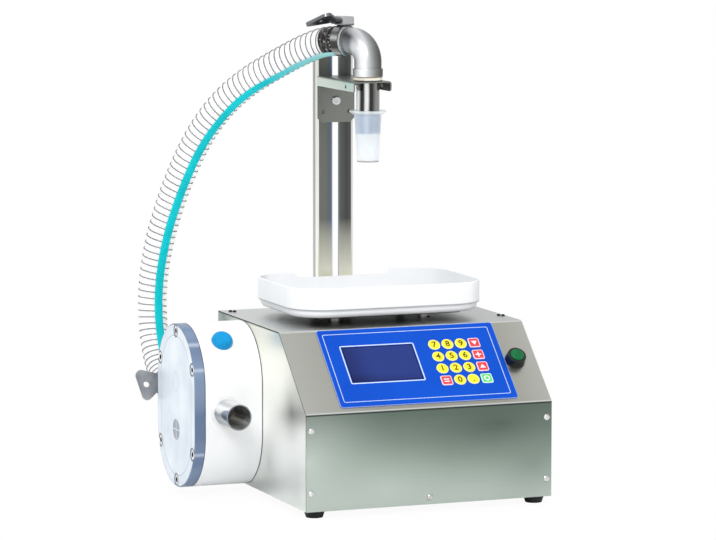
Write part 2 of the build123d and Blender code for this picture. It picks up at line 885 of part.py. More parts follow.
def plug_place():
    # Place of the plug on the upper front curve, and the turn that points it outwards
    arc_radius = pump_width / 2
    arc_z = pump_z + pump_height / 2 - arc_radius
    angle = radians(plug_angle)
    return pump_y - arc_radius * cos(angle), arc_z + arc_radius * sin(angle), 90 - plug_angle


def make_housing_plug():
    # Blue plastic plug with a low dome, sunk a little into the curved side
    head = extrude(Circle(plug_radius), amount=plug_height + plug_sink)
    head = fillet(head.edges().group_by(Axis.Z)[-1], plug_round)
    plug = Pos(0, 0, -plug_sink) * head
    plug += along_z(plug_stem_radius, -plug_stem_length, 0, 0, 0)
    plug_y, plug_z, plug_turn = plug_place()
    return Pos(-half_width - plug_x, plug_y, plug_z) * Rot(plug_turn, 0, 0) * plug


def make_cover_gasket():
    # Thin flat gasket between housing and cover, open over the gear chamber
    ring = pump_outline(0) - pump_outline(gasket_land)
    gasket = Pos(pump_face_x, 0, 0) * extrude(ring, amount=-gasket_thickness)
    for y, z in cover_bolts_yz:
        gasket -= along_x(bolt_radius + hole_gap, pump_face_x - 5, pump_face_x + 5, y, z)
    return gasket


def make_pump_cover():
    # Thick clear plate with sunk bolt heads and blind pockets for the gears' ends
    cover = Pos(cover_inner_x, 0, 0) * extrude(pump_outline(0), amount=-cover_thickness)
    outer = cover.faces().sort_by(Axis.X)[0]
    cover = chamfer(outer.edges(), cover_chamfer)
    for z in (drive_z, driven_z):
        cover -= along_x(
            shaft_radius + running_gap,
            cover_inner_x - shaft_pocket - face_gap,
            cover_inner_x + 1,
            pump_y,
            z,
        )
    for y, z in cover_bolts_yz:
        cover -= along_x(bolt_radius + hole_gap, cover_outer_x - 1, cover_inner_x + 1, y, z)
        sunk_x = cover_outer_x + bolt_counterbore
        cover -= along_x(bolt_head_radius + hole_gap, cover_outer_x - 1, sunk_x, y, z)
    return cover


def make_cover_bolts():
    # Six socket head bolts
    head_x = cover_outer_x + bolt_counterbore
    bolt = along_x(bolt_head_radius, head_x - bolt_head_height, head_x, 0, 0)
    bolt += along_x(bolt_radius, head_x, head_x + bolt_length, 0, 0)
    socket = Plane.YZ * RegularPolygon(bolt_socket, 6, major_radius=False)
    bolt -= Pos(head_x - bolt_head_height - 1, 0, 0) * extrude(socket, amount=bolt_socket_depth + 1)
    return [Pos(0, y, z) * bolt for y, z in cover_bolts_yz]


def involute_half_angle(radius):
    # Half the tooth's angle at a radius: an involute above the base circle, straight below it
    base_radius = gear_pitch_radius * cos(radians(pressure_angle))
    at_pitch = tan(radians(pressure_angle)) - radians(pressure_angle)
    half_pitch = pi / gear_teeth / 2 - radians(gear_backlash)
    here = acos(base_radius / max(radius, base_radius))
    return half_pitch + at_pitch - (tan(here) - here)


def polar(radius, angle):
    # Point at a radius and an angle from the second axis
    return (radius * sin(angle), radius * cos(angle))


def make_gear_blank(turn):
    # Spur gear about the X axis at the origin, one tooth turned from straight up
    base_radius = gear_pitch_radius * cos(radians(pressure_angle))
    middle_radius = (base_radius + gear_tip_radius) / 2
    root_half = involute_half_angle(gear_root_radius)
    tip_half = involute_half_angle(gear_tip_radius)
    middle_half = involute_half_angle(middle_radius)
    step = 2 * pi / gear_teeth
    edges = []
    for tooth in range(gear_teeth):
        centre = tooth * step
        left_root = polar(gear_root_radius, centre - root_half)
        left_base = polar(base_radius, centre - root_half)
        left_tip = polar(gear_tip_radius, centre - tip_half)
        right_tip = polar(gear_tip_radius, centre + tip_half)
        right_base = polar(base_radius, centre + root_half)
        right_root = polar(gear_root_radius, centre + root_half)
        next_root = polar(gear_root_radius, centre + step - root_half)
        edges.append(Line(left_root, left_base))
        edges.append(ThreePointArc(left_base, polar(middle_radius, centre - middle_half), left_tip))
        edges.append(ThreePointArc(left_tip, polar(gear_tip_radius, centre), right_tip))
        edges.append(ThreePointArc(right_tip, polar(middle_radius, centre + middle_half), right_base))
        edges.append(Line(right_base, right_root))
        edges.append(ThreePointArc(right_root, polar(gear_root_radius, centre + step / 2), next_root))
    blank = Plane.YZ * Rot(0, 0, turn) * make_face(edges)
    return extrude(blank, amount=gear_width / 2, both=True)


def make_drive_gear():
    # Lower gear, bored for the drive shaft
    gear = make_gear_blank(0)
    gear -= along_x(shaft_radius + running_gap, -gear_width, gear_width, 0, 0)
    return Pos(gear_centre_x, pump_y, drive_z) * gear


def make_driven_gear():
    # Upper gear with its own journals, half a tooth turned so that it meshes
    gear = make_gear_blank(180 / gear_teeth)
    gear = Pos(gear_centre_x, pump_y, driven_z) * gear
    gear_back_x = gear_centre_x + gear_width / 2
    gear_front_x = gear_centre_x - gear_width / 2
    gear += along_x(shaft_radius, gear_back_x, gear_back_x + journal_length, pump_y, driven_z)
    gear += along_x(shaft_radius, cover_inner_x - shaft_pocket, gear_front_x, pump_y, driven_z)
    return gear


def make_drive_shaft():
    # Shaft from the cover's pocket through the drive gear and the seal into the gearbox
    start_x = cover_inner_x - shaft_pocket
    end_x = -half_width + sheet + shaft_reach
    return along_x(shaft_radius, start_x, end_x, pump_y, drive_z)


def make_shaft_seal():
    # Rubber ring round the drive shaft in the housing's rear wall
    start_x = -half_width - seal_length
    seal = along_x(seal_radius, start_x, -half_width, pump_y, drive_z)
    return seal - along_x(shaft_radius + running_gap, start_x - 1, -half_width + 1, pump_y, drive_z)


def make_port_tube(y_out, outward, radius):
    # Steel tube from its turned seat in the housing out to its open end
    shoulder_y = y_out + outward * (port_boss_height + port_shoulder_gap)
    end_y = y_out + outward * port_reach
    seat_y = y_out - outward * (port_seat - face_gap)
    low_y, high_y = sorted((shoulder_y, end_y))
    tube = along_y(radius, low_y, high_y, port_axis_x, pump_z)
    low_y, high_y = sorted((seat_y, shoulder_y))
    tube += along_y(port_seat_radius, low_y, high_y, port_axis_x, pump_z)
    low_y, high_y = sorted((seat_y - outward, end_y + outward))
    return tube - along_y(radius - port_wall, low_y, high_y, port_axis_x, pump_z)


def make_port_tubes():
    # Inlet tube at the front and outlet tube at the back, which the hose is pushed on
    return [
        make_port_tube(port_front_y, -1, port_radius),
        make_port_tube(port_back_y, 1, outlet_radius),
    ]


def make_gearmotor():
    # Gearbox on the left panel with its motor behind it, bored for the drive shaft
    start_x = -half_width + sheet
    outline = Plane.YZ * RectangleRounded(gearbox_side, gearbox_side, gearbox_corner)
    gearbox = Pos(start_x, pump_y, drive_z) * extrude(outline, amount=gearbox_length)
    motor_start = start_x + gearbox_length
    motor_end = motor_start + motor_length
    motor = gearbox + along_x(motor_radius, motor_start, motor_end, pump_y, drive_z)
    motor += along_x(motor_cap_radius, motor_end, motor_end + motor_cap_length, pump_y, drive_z)
    hole_end = start_x + gearbox_shaft_depth
    motor -= along_x(shaft_radius + running_gap, start_x - 1, hole_end, pump_y, drive_z)
    return motor


def make_power_supply():
    # Closed supply on the cabinet's floor
    floor_z = foot_height + base_thickness
    middle_z = floor_z + supply_height / 2
    return Pos(supply_x, supply_y, middle_z) * Box(supply_width, supply_length, supply_height)


def make_power_inlet():
    # Mains socket and switch frame in one module, pushed in from the back
    body = Box(inlet_module_width, inlet_module_depth, inlet_module_height)
    body = Pos(0, -inlet_module_depth / 2, 0) * body
    flange_width = inlet_module_width + 2 * inlet_module_flange
    flange_height = inlet_module_height + 2 * inlet_module_flange
    body += Pos(0, sheet, 0) * Box(flange_width, 2 * sheet, flange_height)
    socket = Box(socket_width, socket_depth + 2 * sheet, socket_height)
    body -= Pos(0, -socket_depth / 2 + 2 * sheet, -socket_drop) * socket
    for pin_x, pin_z in pin_places:
        pin = Box(pin_width, socket_depth - pin_short, pin_height)
        body += Pos(pin_x, -socket_depth / 2, pin_z - socket_drop) * pin
    frame_depth = rocker_depth + 4 * sheet
    body -= Pos(0, 2 * sheet - frame_depth / 2 + 1, rocker_rise) * Box(
        rocker_width + 2 * face_gap, frame_depth + 2, rocker_height + 4 * face_gap
    )
    body -= Pos(0, 0, rocker_rise) * Rot(0, 90, 0) * Cylinder(
        rocker_axle_radius + running_gap, rocker_width + 4
    )
    return Pos(inlet_module_x, half_depth, inlet_module_z) * body


def make_power_rocker():
    # Rocker of the mains switch on its own axle
    width = rocker_width
    half = rocker_height / 2
    proud = 2 * sheet + 1
    profile = Polyline(
        (-half + 1, proud + 1.6),
        (0, proud - 0.6),
        (half - 1, proud + 1.6),
        (half - 2, -rocker_depth / 2),
        (-half + 2, -rocker_depth / 2),
        close=True,
    )
    face = Plane(origin=(0, 0, 0), x_dir=(0, 0, 1), z_dir=(1, 0, 0)) * Rot(0, 0, 180) * make_face(profile)
    rocker = extrude(face, amount=width / 2, both=True)
    rocker += Rot(0, 90, 0) * Cylinder(rocker_axle_radius, width + 3)
    return Pos(inlet_module_x, half_depth, inlet_module_z + rocker_rise) * Rot(rocker_tilt, 0, 0) * rocker


def make_post():
    # Folded channel, open at the back, with a long slot and a welded plate at its foot
    front_y = post_front_y
    post_x = (-post_width / 2, post_width / 2)
    post = block(post_x, (front_y, front_y + post_sheet), (post_bottom, post_top))
    for side in (-1, 1):
        x_range = sorted((side * post_width / 2, side * (post_width / 2 - post_sheet)))
        post += block(x_range, (front_y, front_y + post_depth), (post_bottom, post_top))
    corners = post.edges().filter_by(Axis.Z).group_by(Axis.Y)[0]
    post = fillet(corners, post_bend)
    plate_y = (half_depth, half_depth + post_plate_thickness)
    plate_z = (post_bottom, post_bottom + post_plate_height)
    plate = block((-post_plate_width / 2, post_plate_width / 2), plate_y, plate_z)
    for x, z in post_screws:
        plate -= along_y(screw_radius + hole_gap, plate_y[0] - 1, plate_y[1] + 1, x, z)
    spacer = block(post_x, plate_y, (plate_z[1], cabinet_top))
    post += plate + spacer
    slot_top = post_top - slot_end_gap
    slot = Plane.XZ * SlotOverall(slot_top - slot_bottom, slot_width, rotation=90)
    slot = Pos(0, front_y, (slot_top + slot_bottom) / 2) * extrude(slot, amount=post_depth, both=True)
    return post - slot


def make_nozzle_bracket():
    # Bent sheet: a plate against the post, a shelf forwards and a flange down each side
    back_y = post_front_y - face_gap / 3
    half = bracket_width / 2
    plate_z = (bracket_bottom, bracket_top - bracket_bend)
    plate = block((-half, half), (back_y - bracket_sheet, back_y), plate_z)
    plate = chamfer(plate.edges().filter_by(Axis.Y).group_by(Axis.Z)[0], bracket_chamfer)
    outer = block((-half, half), (bracket_front_y, back_y), (bracket_top - bracket_flange, bracket_top))
    outer = fillet(outer.edges().filter_by(Axis.Y).group_by(Axis.Z)[-1], bracket_bend)
    inner_x = half - bracket_sheet
    inner_z = (bracket_top - bracket_flange - 1, bracket_top - bracket_sheet)
    inner = block((-inner_x, inner_x), (bracket_front_y - 1, back_y + 1), inner_z)
    inner = fillet(inner.edges().filter_by(Axis.Y).group_by(Axis.Z)[-1], bracket_bend - bracket_sheet)
    channel = outer - inner
    front_corners = channel.edges().filter_by(Axis.X).group_by(Axis.Y)[0].group_by(Axis.Z)[0]
    bracket = fillet(front_corners, bracket_front_round) + plate
    hole_y = bracket_front_y + flange_hole_inset
    hole_z = bracket_top - bracket_flange / 2 - 1
    bracket -= along_x(bracket_hole_radius, -half - 1, half + 1, hole_y, hole_z)
    for x in (-bracket_hole_x, bracket_hole_x):
        bracket -= along_y(bracket_hole_radius, back_y - 5, back_y + 5, x, bracket_hole_z)
    bracket -= along_y(clamp_bolt_radius + hole_gap, back_y - 5, back_y + 5, 0, clamp_bolt_z)
    bracket -= along_z(pipe_radius + hole_gap, bracket_top - 5, bracket_top + 5, 0, nozzle_y)
    return bracket


def make_clamp_bolt():
    # Round head bolt through the bracket and the post's slot
    head_y = post_front_y - face_gap / 3 - bracket_sheet
    bolt = along_y(clamp_bolt_radius, head_y, head_y + clamp_bolt_length, 0, clamp_bolt_z)
    head = extrude(Circle(clamp_bolt_head), amount=clamp_bolt_head_height)
    head = fillet(head.edges().group_by(Axis.Z)[-1], clamp_bolt_head_round)
    slot = Pos(0, 0, clamp_bolt_head_height) * Box(2 * clamp_bolt_head, clamp_bolt_slot, 2)
    return bolt + Pos(0, head_y, clamp_bolt_z) * Rot(90, 0, 0) * (head - slot)


def make_clamp_knob():
    # Star knob behind the post that holds the bracket at its height
    start_y = post_front_y + post_sheet + face_gap
    hub = along_y(knob_hub_radius, start_y, start_y + knob_hub_length, 0, clamp_bolt_z)
    outline = Circle(knob_radius)
    lobe_angle = 360 / knob_lobes
    for lobe in range(knob_lobes):
        place = Rot(0, 0, lobe * lobe_angle) * Pos(knob_dent_place, 0)
        outline -= place * Circle(knob_dent_radius)
    star = Rot(-90, 0, 0) * extrude(outline, amount=knob_length)
    knob = hub + Pos(0, start_y + knob_hub_length, clamp_bolt_z) * star
    hole_end = start_y + clamp_bolt_length
    return knob - along_y(clamp_bolt_radius + running_gap, start_y - 1, hole_end, 0, clamp_bolt_z)


def elbow_path(start_drop, end_length):
    # Centre line of the elbow: up from start_drop under the turn, then out along its leg
    start = Vector(0, nozzle_y, elbow_z - start_drop)
    turn_point = Vector(0, nozzle_y, elbow_z)
    return start, turn_point, turn_point + elbow_out * end_length


def make_elbow():
    # Cast elbow with a collar at its lower end and a spigot for the hose
    drop = elbow_z - bracket_top - ring_height - collar_height
    start, turn_point, end = elbow_path(drop, elbow_leg)
    path = FilletPolyline(start, turn_point, end, radius=elbow_bend)
    section = Plane(origin=start, z_dir=(0, 0, 1))
    outer = sweep(section * Circle(elbow_radius), path=path)
    collar_z = bracket_top + ring_height
    outer += along_z(collar_radius, collar_z, collar_z + collar_height, 0, nozzle_y)
    leg_plane = Plane(origin=end, z_dir=elbow_out)
    outer += extrude(leg_plane * Circle(spigot_radius), amount=spigot_seat)
    outer += extrude(leg_plane * Circle(spigot_tip_radius), amount=spigot_length)
    lip = extrude(Circle(elbow_radius + elbow_lip_height), amount=elbow_lip_width)
    outer += Plane(origin=end - elbow_out * elbow_lip_width, z_dir=elbow_out) * lip
    bore = sweep(section * Circle(elbow_radius - elbow_wall), path=path)
    bore += extrude(leg_plane * Circle(spigot_tip_radius - spigot_wall), amount=spigot_length + 1)
    bore += along_z(pipe_radius + hole_gap, collar_z - 1, collar_z + pipe_seat, 0, nozzle_y)
    bore += along_z(elbow_radius - elbow_wall, collar_z, collar_z + collar_height + 1, 0, nozzle_y)
    return outer - bore


def make_sealing_ring():
    # Cream plastic ring that the collar is tightened on
    ring = along_z(ring_radius, bracket_top, bracket_top + ring_height, 0, nozzle_y)
    hole_top = bracket_top + 2 * ring_height
    return ring - along_z(pipe_radius + hole_gap, bracket_top - 1, hole_top, 0, nozzle_y)


def make_nozzle_pipe():
    # Straight steel pipe from the elbow down into the nozzle
    top_z = bracket_top + ring_height + pipe_seat - face_gap
    pipe = along_z(pipe_radius, pipe_bottom, top_z, 0, nozzle_y)
    return pipe - along_z(pipe_radius - pipe_wall, pipe_bottom - 1, top_z + 1, 0, nozzle_y)


def make_nozzle_tip():
    # Soft plastic nozzle that is pushed over the pipe, with a flange and a tapered mouth
    top_z = tip_flange_z + tip_flange_thickness
    inner_top = pipe_radius + running_gap
    mouth = tip_bottom_radius - tip_wall
    outer_line = Polyline(
        (inner_top, top_z),
        (tip_flange_radius, top_z),
        (tip_flange_radius, top_z - tip_rim),
        (tip_top_radius, tip_flange_z),
        (tip_bottom_radius, tip_bottom),
        (mouth, tip_bottom),
        (mouth, tip_bottom + tip_mouth),
        (inner_top, pipe_bottom - face_gap),
        close=True,
    )
    tip = revolve(Plane.XZ * make_face(outer_line), Axis.Z)
    return Pos(0, nozzle_y, 0) * tip


def clamp_frame(centre, axis, roll):
    # Plane at a clamp: its Z along the hose, its Y outwards at the screw, its X along the screw
    plane = Plane(origin=centre, x_dir=Vector(0, 0, 1).cross(axis), z_dir=axis)
    return Plane(plane.location * Rot(0, 0, roll))


def upper_clamp_frame():
    return clamp_frame(elbow_end + elbow_out * band_place, elbow_out, upper_clamp_roll)


def lower_clamp_frame():
    centre = hose_end + Vector(0, lower_band_place, 0)
    return clamp_frame(centre, Vector(0, 1, 0), lower_clamp_roll)


def worm_axis_height():
    # Distance of the clamp's screw from the hose's axis
    return hose_radius + band_gap + band_thickness + worm_height / 2


def make_clamp_band(frame):
    # Steel band round the hose with the housing of its worm screw
    inner = hose_radius + band_gap
    outer = inner + band_thickness
    ring = extrude(Circle(outer) - Circle(inner), amount=band_width / 2, both=True)
    housing = Pos(0, inner + band_thickness / 2 + worm_height / 2, 0) * Box(
        worm_length, worm_height + band_thickness, worm_width
    )
    rounded = housing.edges().filter_by(Axis.Z).group_by(Axis.Y)[-1]
    housing = fillet(rounded, worm_corner)
    housing -= extrude(Circle(inner), amount=worm_width, both=True)
    band = ring + housing
    screw_hole = Rot(0, 90, 0) * Cylinder(worm_screw_radius + running_gap, 2 * worm_length)
    band -= Pos(0, worm_axis_height(), 0) * screw_hole
    return frame.location * band


def make_wing_key(frame, turn):
    # Worm screw with a fan shaped plastic wing on its end
    screw_start = -worm_length / 2 - worm_screw_past
    screw_end = wing_start + wing_root
    screw = along_x(worm_screw_radius, screw_start, screw_end, 0, 0)
    screw += along_x(worm_head_radius, worm_length / 2 + face_gap, wing_start, 0, 0)
    wing_end = wing_start + wing_length
    fan = make_face(
        Polyline(
            (wing_start, -key_neck_width / 2),
            (wing_end, -wing_width / 2),
            (wing_end, wing_width / 2),
            (wing_start, key_neck_width / 2),
            close=True,
        )
    )
    fan = fillet(fan.vertices().group_by(Axis.X)[-1], wing_corner)
    fan -= Pos(wing_start + wing_hole_place, 0) * Circle(wing_hole_radius)
    wing = extrude(Plane.XZ * fan, amount=wing_thickness / 2, both=True)
    return frame.location * Pos(0, worm_axis_height(), 0) * Rot(turn, 0, 0) * (screw + wing)


def make_hose():
    # Wire reinforced hose: straight runs joined by tangent arcs
    runs = [hose_route[i + 1] - hose_route[i] for i in range(len(hose_route) - 1)]
    radii = []
    for before, after in zip(runs, runs[1:]):
        turn = radians(before.get_angle(after))
        shorter = min(before.length, after.length)
        radii.append(hose_arc_share * shorter / tan(turn / 2))
    print("hose bend radii:", [round(radius) for radius in radii])
    path = FilletPolyline(*hose_route, radius=radii)
    section = Plane(origin=hose_route[0], z_dir=runs[0])
    wall = section * (Circle(hose_radius) - Circle(hose_bore_radius))
    hose = sweep(wall, path=path)
    expected = pi * (hose_radius**2 - hose_bore_radius**2) * path.length
    print("hose length:", round(path.length, 1), "volume ratio:", round(hose.volume / expected, 4))
    return hose


def make_machine():
    # Every piece by its node name
    machine = {
        "cabinet_shell": make_cabinet_shell(),
        "left_side_panel": make_side_panel(-1),
        "right_side_panel": make_side_panel(1),
        "back_panel": make_back_panel(),
        "base_plate": make_base_plate(),
        "panel_screws": make_panel_screws(),
        "rubber_feet": make_feet(),
        "control_overlay": make_control_overlay(),
        "display_window": make_display_window(),
        "control_board": make_control_board(),
        "start_button_housing": make_start_button_housing(),
        "start_button_cap": make_start_button_cap(),
        "scale_bridge": make_scale_bridge(),
        "load_cell": make_load_cell(),
        "load_spider": make_load_spider(),
        "weighing_platform": make_weighing_platform(),
        "weighing_tray": make_tray(),
        "pump_housing": make_pump_housing(),
        "pump_cover": make_pump_cover(),
        "cover_gasket": make_cover_gasket(),
        "cover_bolts": make_cover_bolts(),
        "drive_gear": make_drive_gear(),
        "driven_gear": make_driven_gear(),
        "drive_shaft": make_drive_shaft(),
        "shaft_seal": make_shaft_seal(),
        "port_tubes": make_port_tubes(),
        "housing_plug": make_housing_plug(),
        "gearmotor": make_gearmotor(),
        "power_supply": make_power_supply(),
        "power_inlet": make_power_inlet(),
        "power_rocker": make_power_rocker(),
        "post": make_post(),
        "nozzle_bracket": make_nozzle_bracket(),
        "clamp_bolt": make_clamp_bolt(),
        "clamp_knob": make_clamp_knob(),
        "elbow": make_elbow(),
        "sealing_ring": make_sealing_ring(),
        "nozzle_pipe": make_nozzle_pipe(),
        "nozzle_tip": make_nozzle_tip(),
        "upper_clamp_band": make_clamp_band(upper_clamp_frame()),
        "upper_clamp_key": make_wing_key(upper_clamp_frame(), upper_key_turn),
        "lower_clamp_band": make_clamp_band(lower_clamp_frame()),
        "lower_clamp_key": make_wing_key(lower_clamp_frame(), lower_key_turn),
        "hose": make_hose(),
    }
    for index in range(len(key_positions)):
        machine[f"key_{index + 1:02d}"] = make_key(index)
    return machine


def origin_shift(machine):
    # Move that puts the origin under the middle of the box of every piece but the hose
    shapes = [shape for name, shape in machine.items() if name != "hose"]
    boxes = [Compound(solids_of(shape)).bounding_box() for shape in shapes]
    low_x = min(box.min.X for box in boxes)
    high_x = max(box.max.X for box in boxes)
    low_y = min(box.min.Y for box in boxes)
    high_y = max(box.max.Y for box in boxes)
    return Vector(-(low_x + high_x) / 2, -(low_y + high_y) / 2, 0)


def solids_of(shape):
    # All solids of a shape or of a list of shapes
    shapes = shape if isinstance(shape, list) else [shape]
    return [solid for item in shapes for solid in item.solids()]


machine = make_machine()
shift = origin_shift(machine)
print("origin shift:", round(shift.X, 3), round(shift.Y, 3))
os.makedirs("parts", exist_ok=True)
for name, shape in machine.items():
    solids = [Pos(shift.X, shift.Y, shift.Z) * solid for solid in solids_of(shape)]
    export_step(solids[0] if len(solids) == 1 else Compound(solids), f"parts/{name}.step")
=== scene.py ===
import bpy
from math import atan2, cos, radians, sin, tau
from mathutils import Matrix, Vector


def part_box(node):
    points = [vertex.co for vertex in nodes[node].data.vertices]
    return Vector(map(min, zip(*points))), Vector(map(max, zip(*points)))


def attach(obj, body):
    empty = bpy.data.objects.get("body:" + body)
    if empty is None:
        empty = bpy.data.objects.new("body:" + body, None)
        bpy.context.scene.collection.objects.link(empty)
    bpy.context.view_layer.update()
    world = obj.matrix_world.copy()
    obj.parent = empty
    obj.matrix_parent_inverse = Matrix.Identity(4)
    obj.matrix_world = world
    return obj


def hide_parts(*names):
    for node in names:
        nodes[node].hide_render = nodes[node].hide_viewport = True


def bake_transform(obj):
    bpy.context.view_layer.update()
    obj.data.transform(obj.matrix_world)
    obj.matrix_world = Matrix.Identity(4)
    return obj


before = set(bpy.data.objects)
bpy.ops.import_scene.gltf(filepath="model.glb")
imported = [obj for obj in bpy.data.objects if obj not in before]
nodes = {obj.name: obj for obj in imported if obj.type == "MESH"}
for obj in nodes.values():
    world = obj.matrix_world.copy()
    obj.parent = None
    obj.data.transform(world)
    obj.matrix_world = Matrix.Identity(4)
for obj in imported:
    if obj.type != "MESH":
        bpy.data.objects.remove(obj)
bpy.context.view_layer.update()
shellLow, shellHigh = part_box("cabinet_shell")
# Places are in metres from the middle of the cabinet on the floor; shift leads from there to the frame
shift = Vector(((shellLow.x + shellHigh.x) / 2, (shellLow.y + shellHigh.y) / 2, 0))
print("stage: frame loaded")

# Camera
cameraSetup = {
    "place": (-1.780, -4.504, 0.854), "yaw": 21.2, "pitch": 6.7, "lens": 191.8, "sensor": 36.0, "far": 60,
}
cameraData = bpy.data.cameras.new("photoCamera")
cameraData.lens = cameraSetup["lens"]
cameraData.sensor_width = cameraSetup["sensor"]
cameraData.clip_end = cameraSetup["far"]
camera = bpy.data.objects.new("photoCamera", cameraData)
camera.location = Vector(cameraSetup["place"]) + shift
camera.rotation_euler = (radians(90 - cameraSetup["pitch"]), 0, -radians(cameraSetup["yaw"]))
bpy.context.scene.collection.objects.link(camera)
bpy.context.scene.camera = camera

finish = {"grainDepth": 0.0002, "grainShare": 0.1, "bandWander": 0.25, "bandMetal": 0.8, "bevelSamples": 4}


def tint(red, green, blue):  # screen colour to light
    return tuple(((c / 255 + 0.055) / 1.055) ** 2.4 if c > 10 else c / 3294 for c in (red, green, blue))


def stops(*rows):  # colour stops for a ramp: position, then the screen colour
    return tuple((place, tint(*colour)) for place, *colour in rows)


class Surface:  # a node material; where, x, y and z are the place on the machine
    def __init__(self, name):
        self.material = bpy.data.materials.new(name)
        self.material.use_nodes = True
        self.tree = self.material.node_tree
        self.shader = self.tree.nodes["Principled BSDF"]
        coordinates = self.tree.nodes.new("ShaderNodeTexCoord")
        self.facing = coordinates.outputs["Normal"]
        self.place = coordinates.outputs["Object"]
        self.where = self.vector("SUBTRACT", self.place, tuple(shift))
        self.x, self.y, self.z = self.parts(self.where)

    def put(self, socket, value):
        if isinstance(value, bpy.types.NodeSocket):
            self.tree.links.new(value, socket)
        elif isinstance(value, (tuple, list)) and len(value) == 3 and len(socket.default_value) == 4:
            socket.default_value = (*value, 1)
        else:
            socket.default_value = value

    def set(self, **values):  # direct values or links on the shader, words joined by underscores
        for name, value in values.items():
            self.put(self.shader.inputs[name.replace("_", " ")], value)

    def math(self, operation, a, b=0.0):
        node = self.tree.nodes.new("ShaderNodeMath")
        node.operation = operation
        self.put(node.inputs[0], a)
        self.put(node.inputs[1], b)
        return node.outputs[0]

    def add(self, a, b):
        return self.math("ADD", a, b)

    def less(self, a, b):
        return self.math("SUBTRACT", a, b)

    def times(self, a, b):
        return self.math("MULTIPLY", a, b)

    def reach(self, a, b):  # length of two sides together
        return self.math("SQRT", self.add(self.times(a, a), self.times(b, b)))

    def vector(self, operation, a, b):
        node = self.tree.nodes.new("ShaderNodeVectorMath")
        node.operation = operation
        self.put(node.inputs[0], a)
        self.put(node.inputs[1], b)
        return node.outputs[1] if operation in ("DOT_PRODUCT", "DISTANCE") else node.outputs[0]

    def parts(self, value):
        split = self.tree.nodes.new("ShaderNodeSeparateXYZ")
        self.tree.links.new(value, split.inputs[0])
        return split.outputs

    def along(self, start, direction):  # distance from a place in one direction
        return self.vector("DOT_PRODUCT", self.vector("SUBTRACT", self.where, tuple(start)), tuple(direction))

    def noise(self, scale, stretch=(1, 1, 1), detail=2.0, roughness=0.5):
        node = self.tree.nodes.new("ShaderNodeTexNoise")
        node.inputs["Scale"].default_value = scale
        node.inputs["Detail"].default_value = detail
        node.inputs["Roughness"].default_value = roughness
        self.put(node.inputs["Vector"], self.vector("MULTIPLY", self.place, stretch))
        return node.outputs["Fac"]

    def ramp(self, value, *stops):  # stops are (position, colour or grey)
        node = self.tree.nodes.new("ShaderNodeValToRGB")
        while len(node.color_ramp.elements) < len(stops):
            node.color_ramp.elements.new(0.5)
        for element, (position, colour) in zip(node.color_ramp.elements, stops):
            element.position = position
            element.color = (*(colour if isinstance(colour, tuple) else (colour,) * 3), 1)
        self.put(node.inputs[0], value)
        return node.outputs[0]

    def mix(self, share, a, b, kind="MIX"):
        node = self.tree.nodes.new("ShaderNodeMix")
        node.data_type = "RGBA"
        node.blend_type = kind
        self.put(node.inputs[0], share)
        self.put(node.inputs[6], a)
        self.put(node.inputs[7], b)
        return node.outputs[2]

    def span(self, value, low, high):  # 0 at low, 1 at high, in between a straight ramp
        node = self.tree.nodes.new("ShaderNodeMapRange")
        self.put(node.inputs["Value"], value)
        self.put(node.inputs["From Min"], low)
        self.put(node.inputs["From Max"], high)
        return node.outputs[0]

    def relief(self, height, strength, depth, round=0.0):
        bump = self.tree.nodes.new("ShaderNodeBump")
        bump.inputs["Strength"].default_value = strength
        bump.inputs["Distance"].default_value = depth
        self.put(bump.inputs["Height"], height)
        if round > 0:
            edge = self.tree.nodes.new("ShaderNodeBevel")
            edge.samples = finish["bevelSamples"]
            edge.inputs["Radius"].default_value = round
            self.tree.links.new(edge.outputs[0], bump.inputs["Normal"])
        self.tree.links.new(bump.outputs[0], self.shader.inputs["Normal"])

    def rectangle(self, u, v, middle, size, corner):  # distance outside a rounded rectangle
        across = self.math("ABSOLUTE", self.less(u, middle[0]))
        up = self.math("ABSOLUTE", self.less(v, middle[1]))
        across = self.math("MAXIMUM", self.less(across, size[0] / 2 - corner), 0)
        up = self.math("MAXIMUM", self.less(up, size[1] / 2 - corner), 0)
        return self.less(self.reach(across, up), corner)

    def line(self, distance, at, width, soft=0.0002):  # 1 on a line that lies at that distance, else 0
        gap = self.math("ABSOLUTE", self.less(distance, at))
        return self.span(gap, width / 2 + soft, width / 2 - soft)

    def facingTo(self, direction, low=0.80, high=0.95):  # 1 where the surface looks that way
        return self.span(self.vector("DOT_PRODUCT", self.facing, direction), low, high)

    def spot(self, place, reach, squash=(1, 1, 1)):  # 1 at a place on the machine, 0 from that reach on
        there = tuple(a * b for a, b in zip(place, squash))
        gap = self.vector("DISTANCE", self.vector("MULTIPLY", self.where, squash), there)
        share = self.span(gap, reach, 0)
        return self.times(share, share)

    def spotted(self, tone, spots):  # rows of place, reach, squash, share and colour laid over a tone
        for place, reach, squash, share, colour in spots:
            tone = self.mix(self.times(self.spot(place, reach, squash), share), tone, colour)
        return tone

    def clouds(self, look, low, high):
        return self.ramp(self.noise(look["cloud"], (1, 1, 1), 2), (low, look["dark"]), (high, look["light"]))

    def streaked(self, look, metal):  # roughness and relief that follow fine streaks
        streak = self.noise(look["grain"], look["stretch"], 4, 0.65)
        spread = self.times(self.span(streak, 0.2, 0.8), look["roughSpread"])
        self.set(Metallic=metal, Roughness=self.add(spread, look["rough"]))
        self.relief(streak, look["bump"], finish["grainDepth"], look["edge"])
        return streak


def dress(surface, *names):
    for name in names:
        nodes[name].data.materials.clear()
        nodes[name].data.materials.append(surface.material)


def metalTone(s, look):
    return s.clouds(look, 0.3, 0.7)


def plasticTone(s, look):
    return s.clouds(look, 0.35, 0.65)


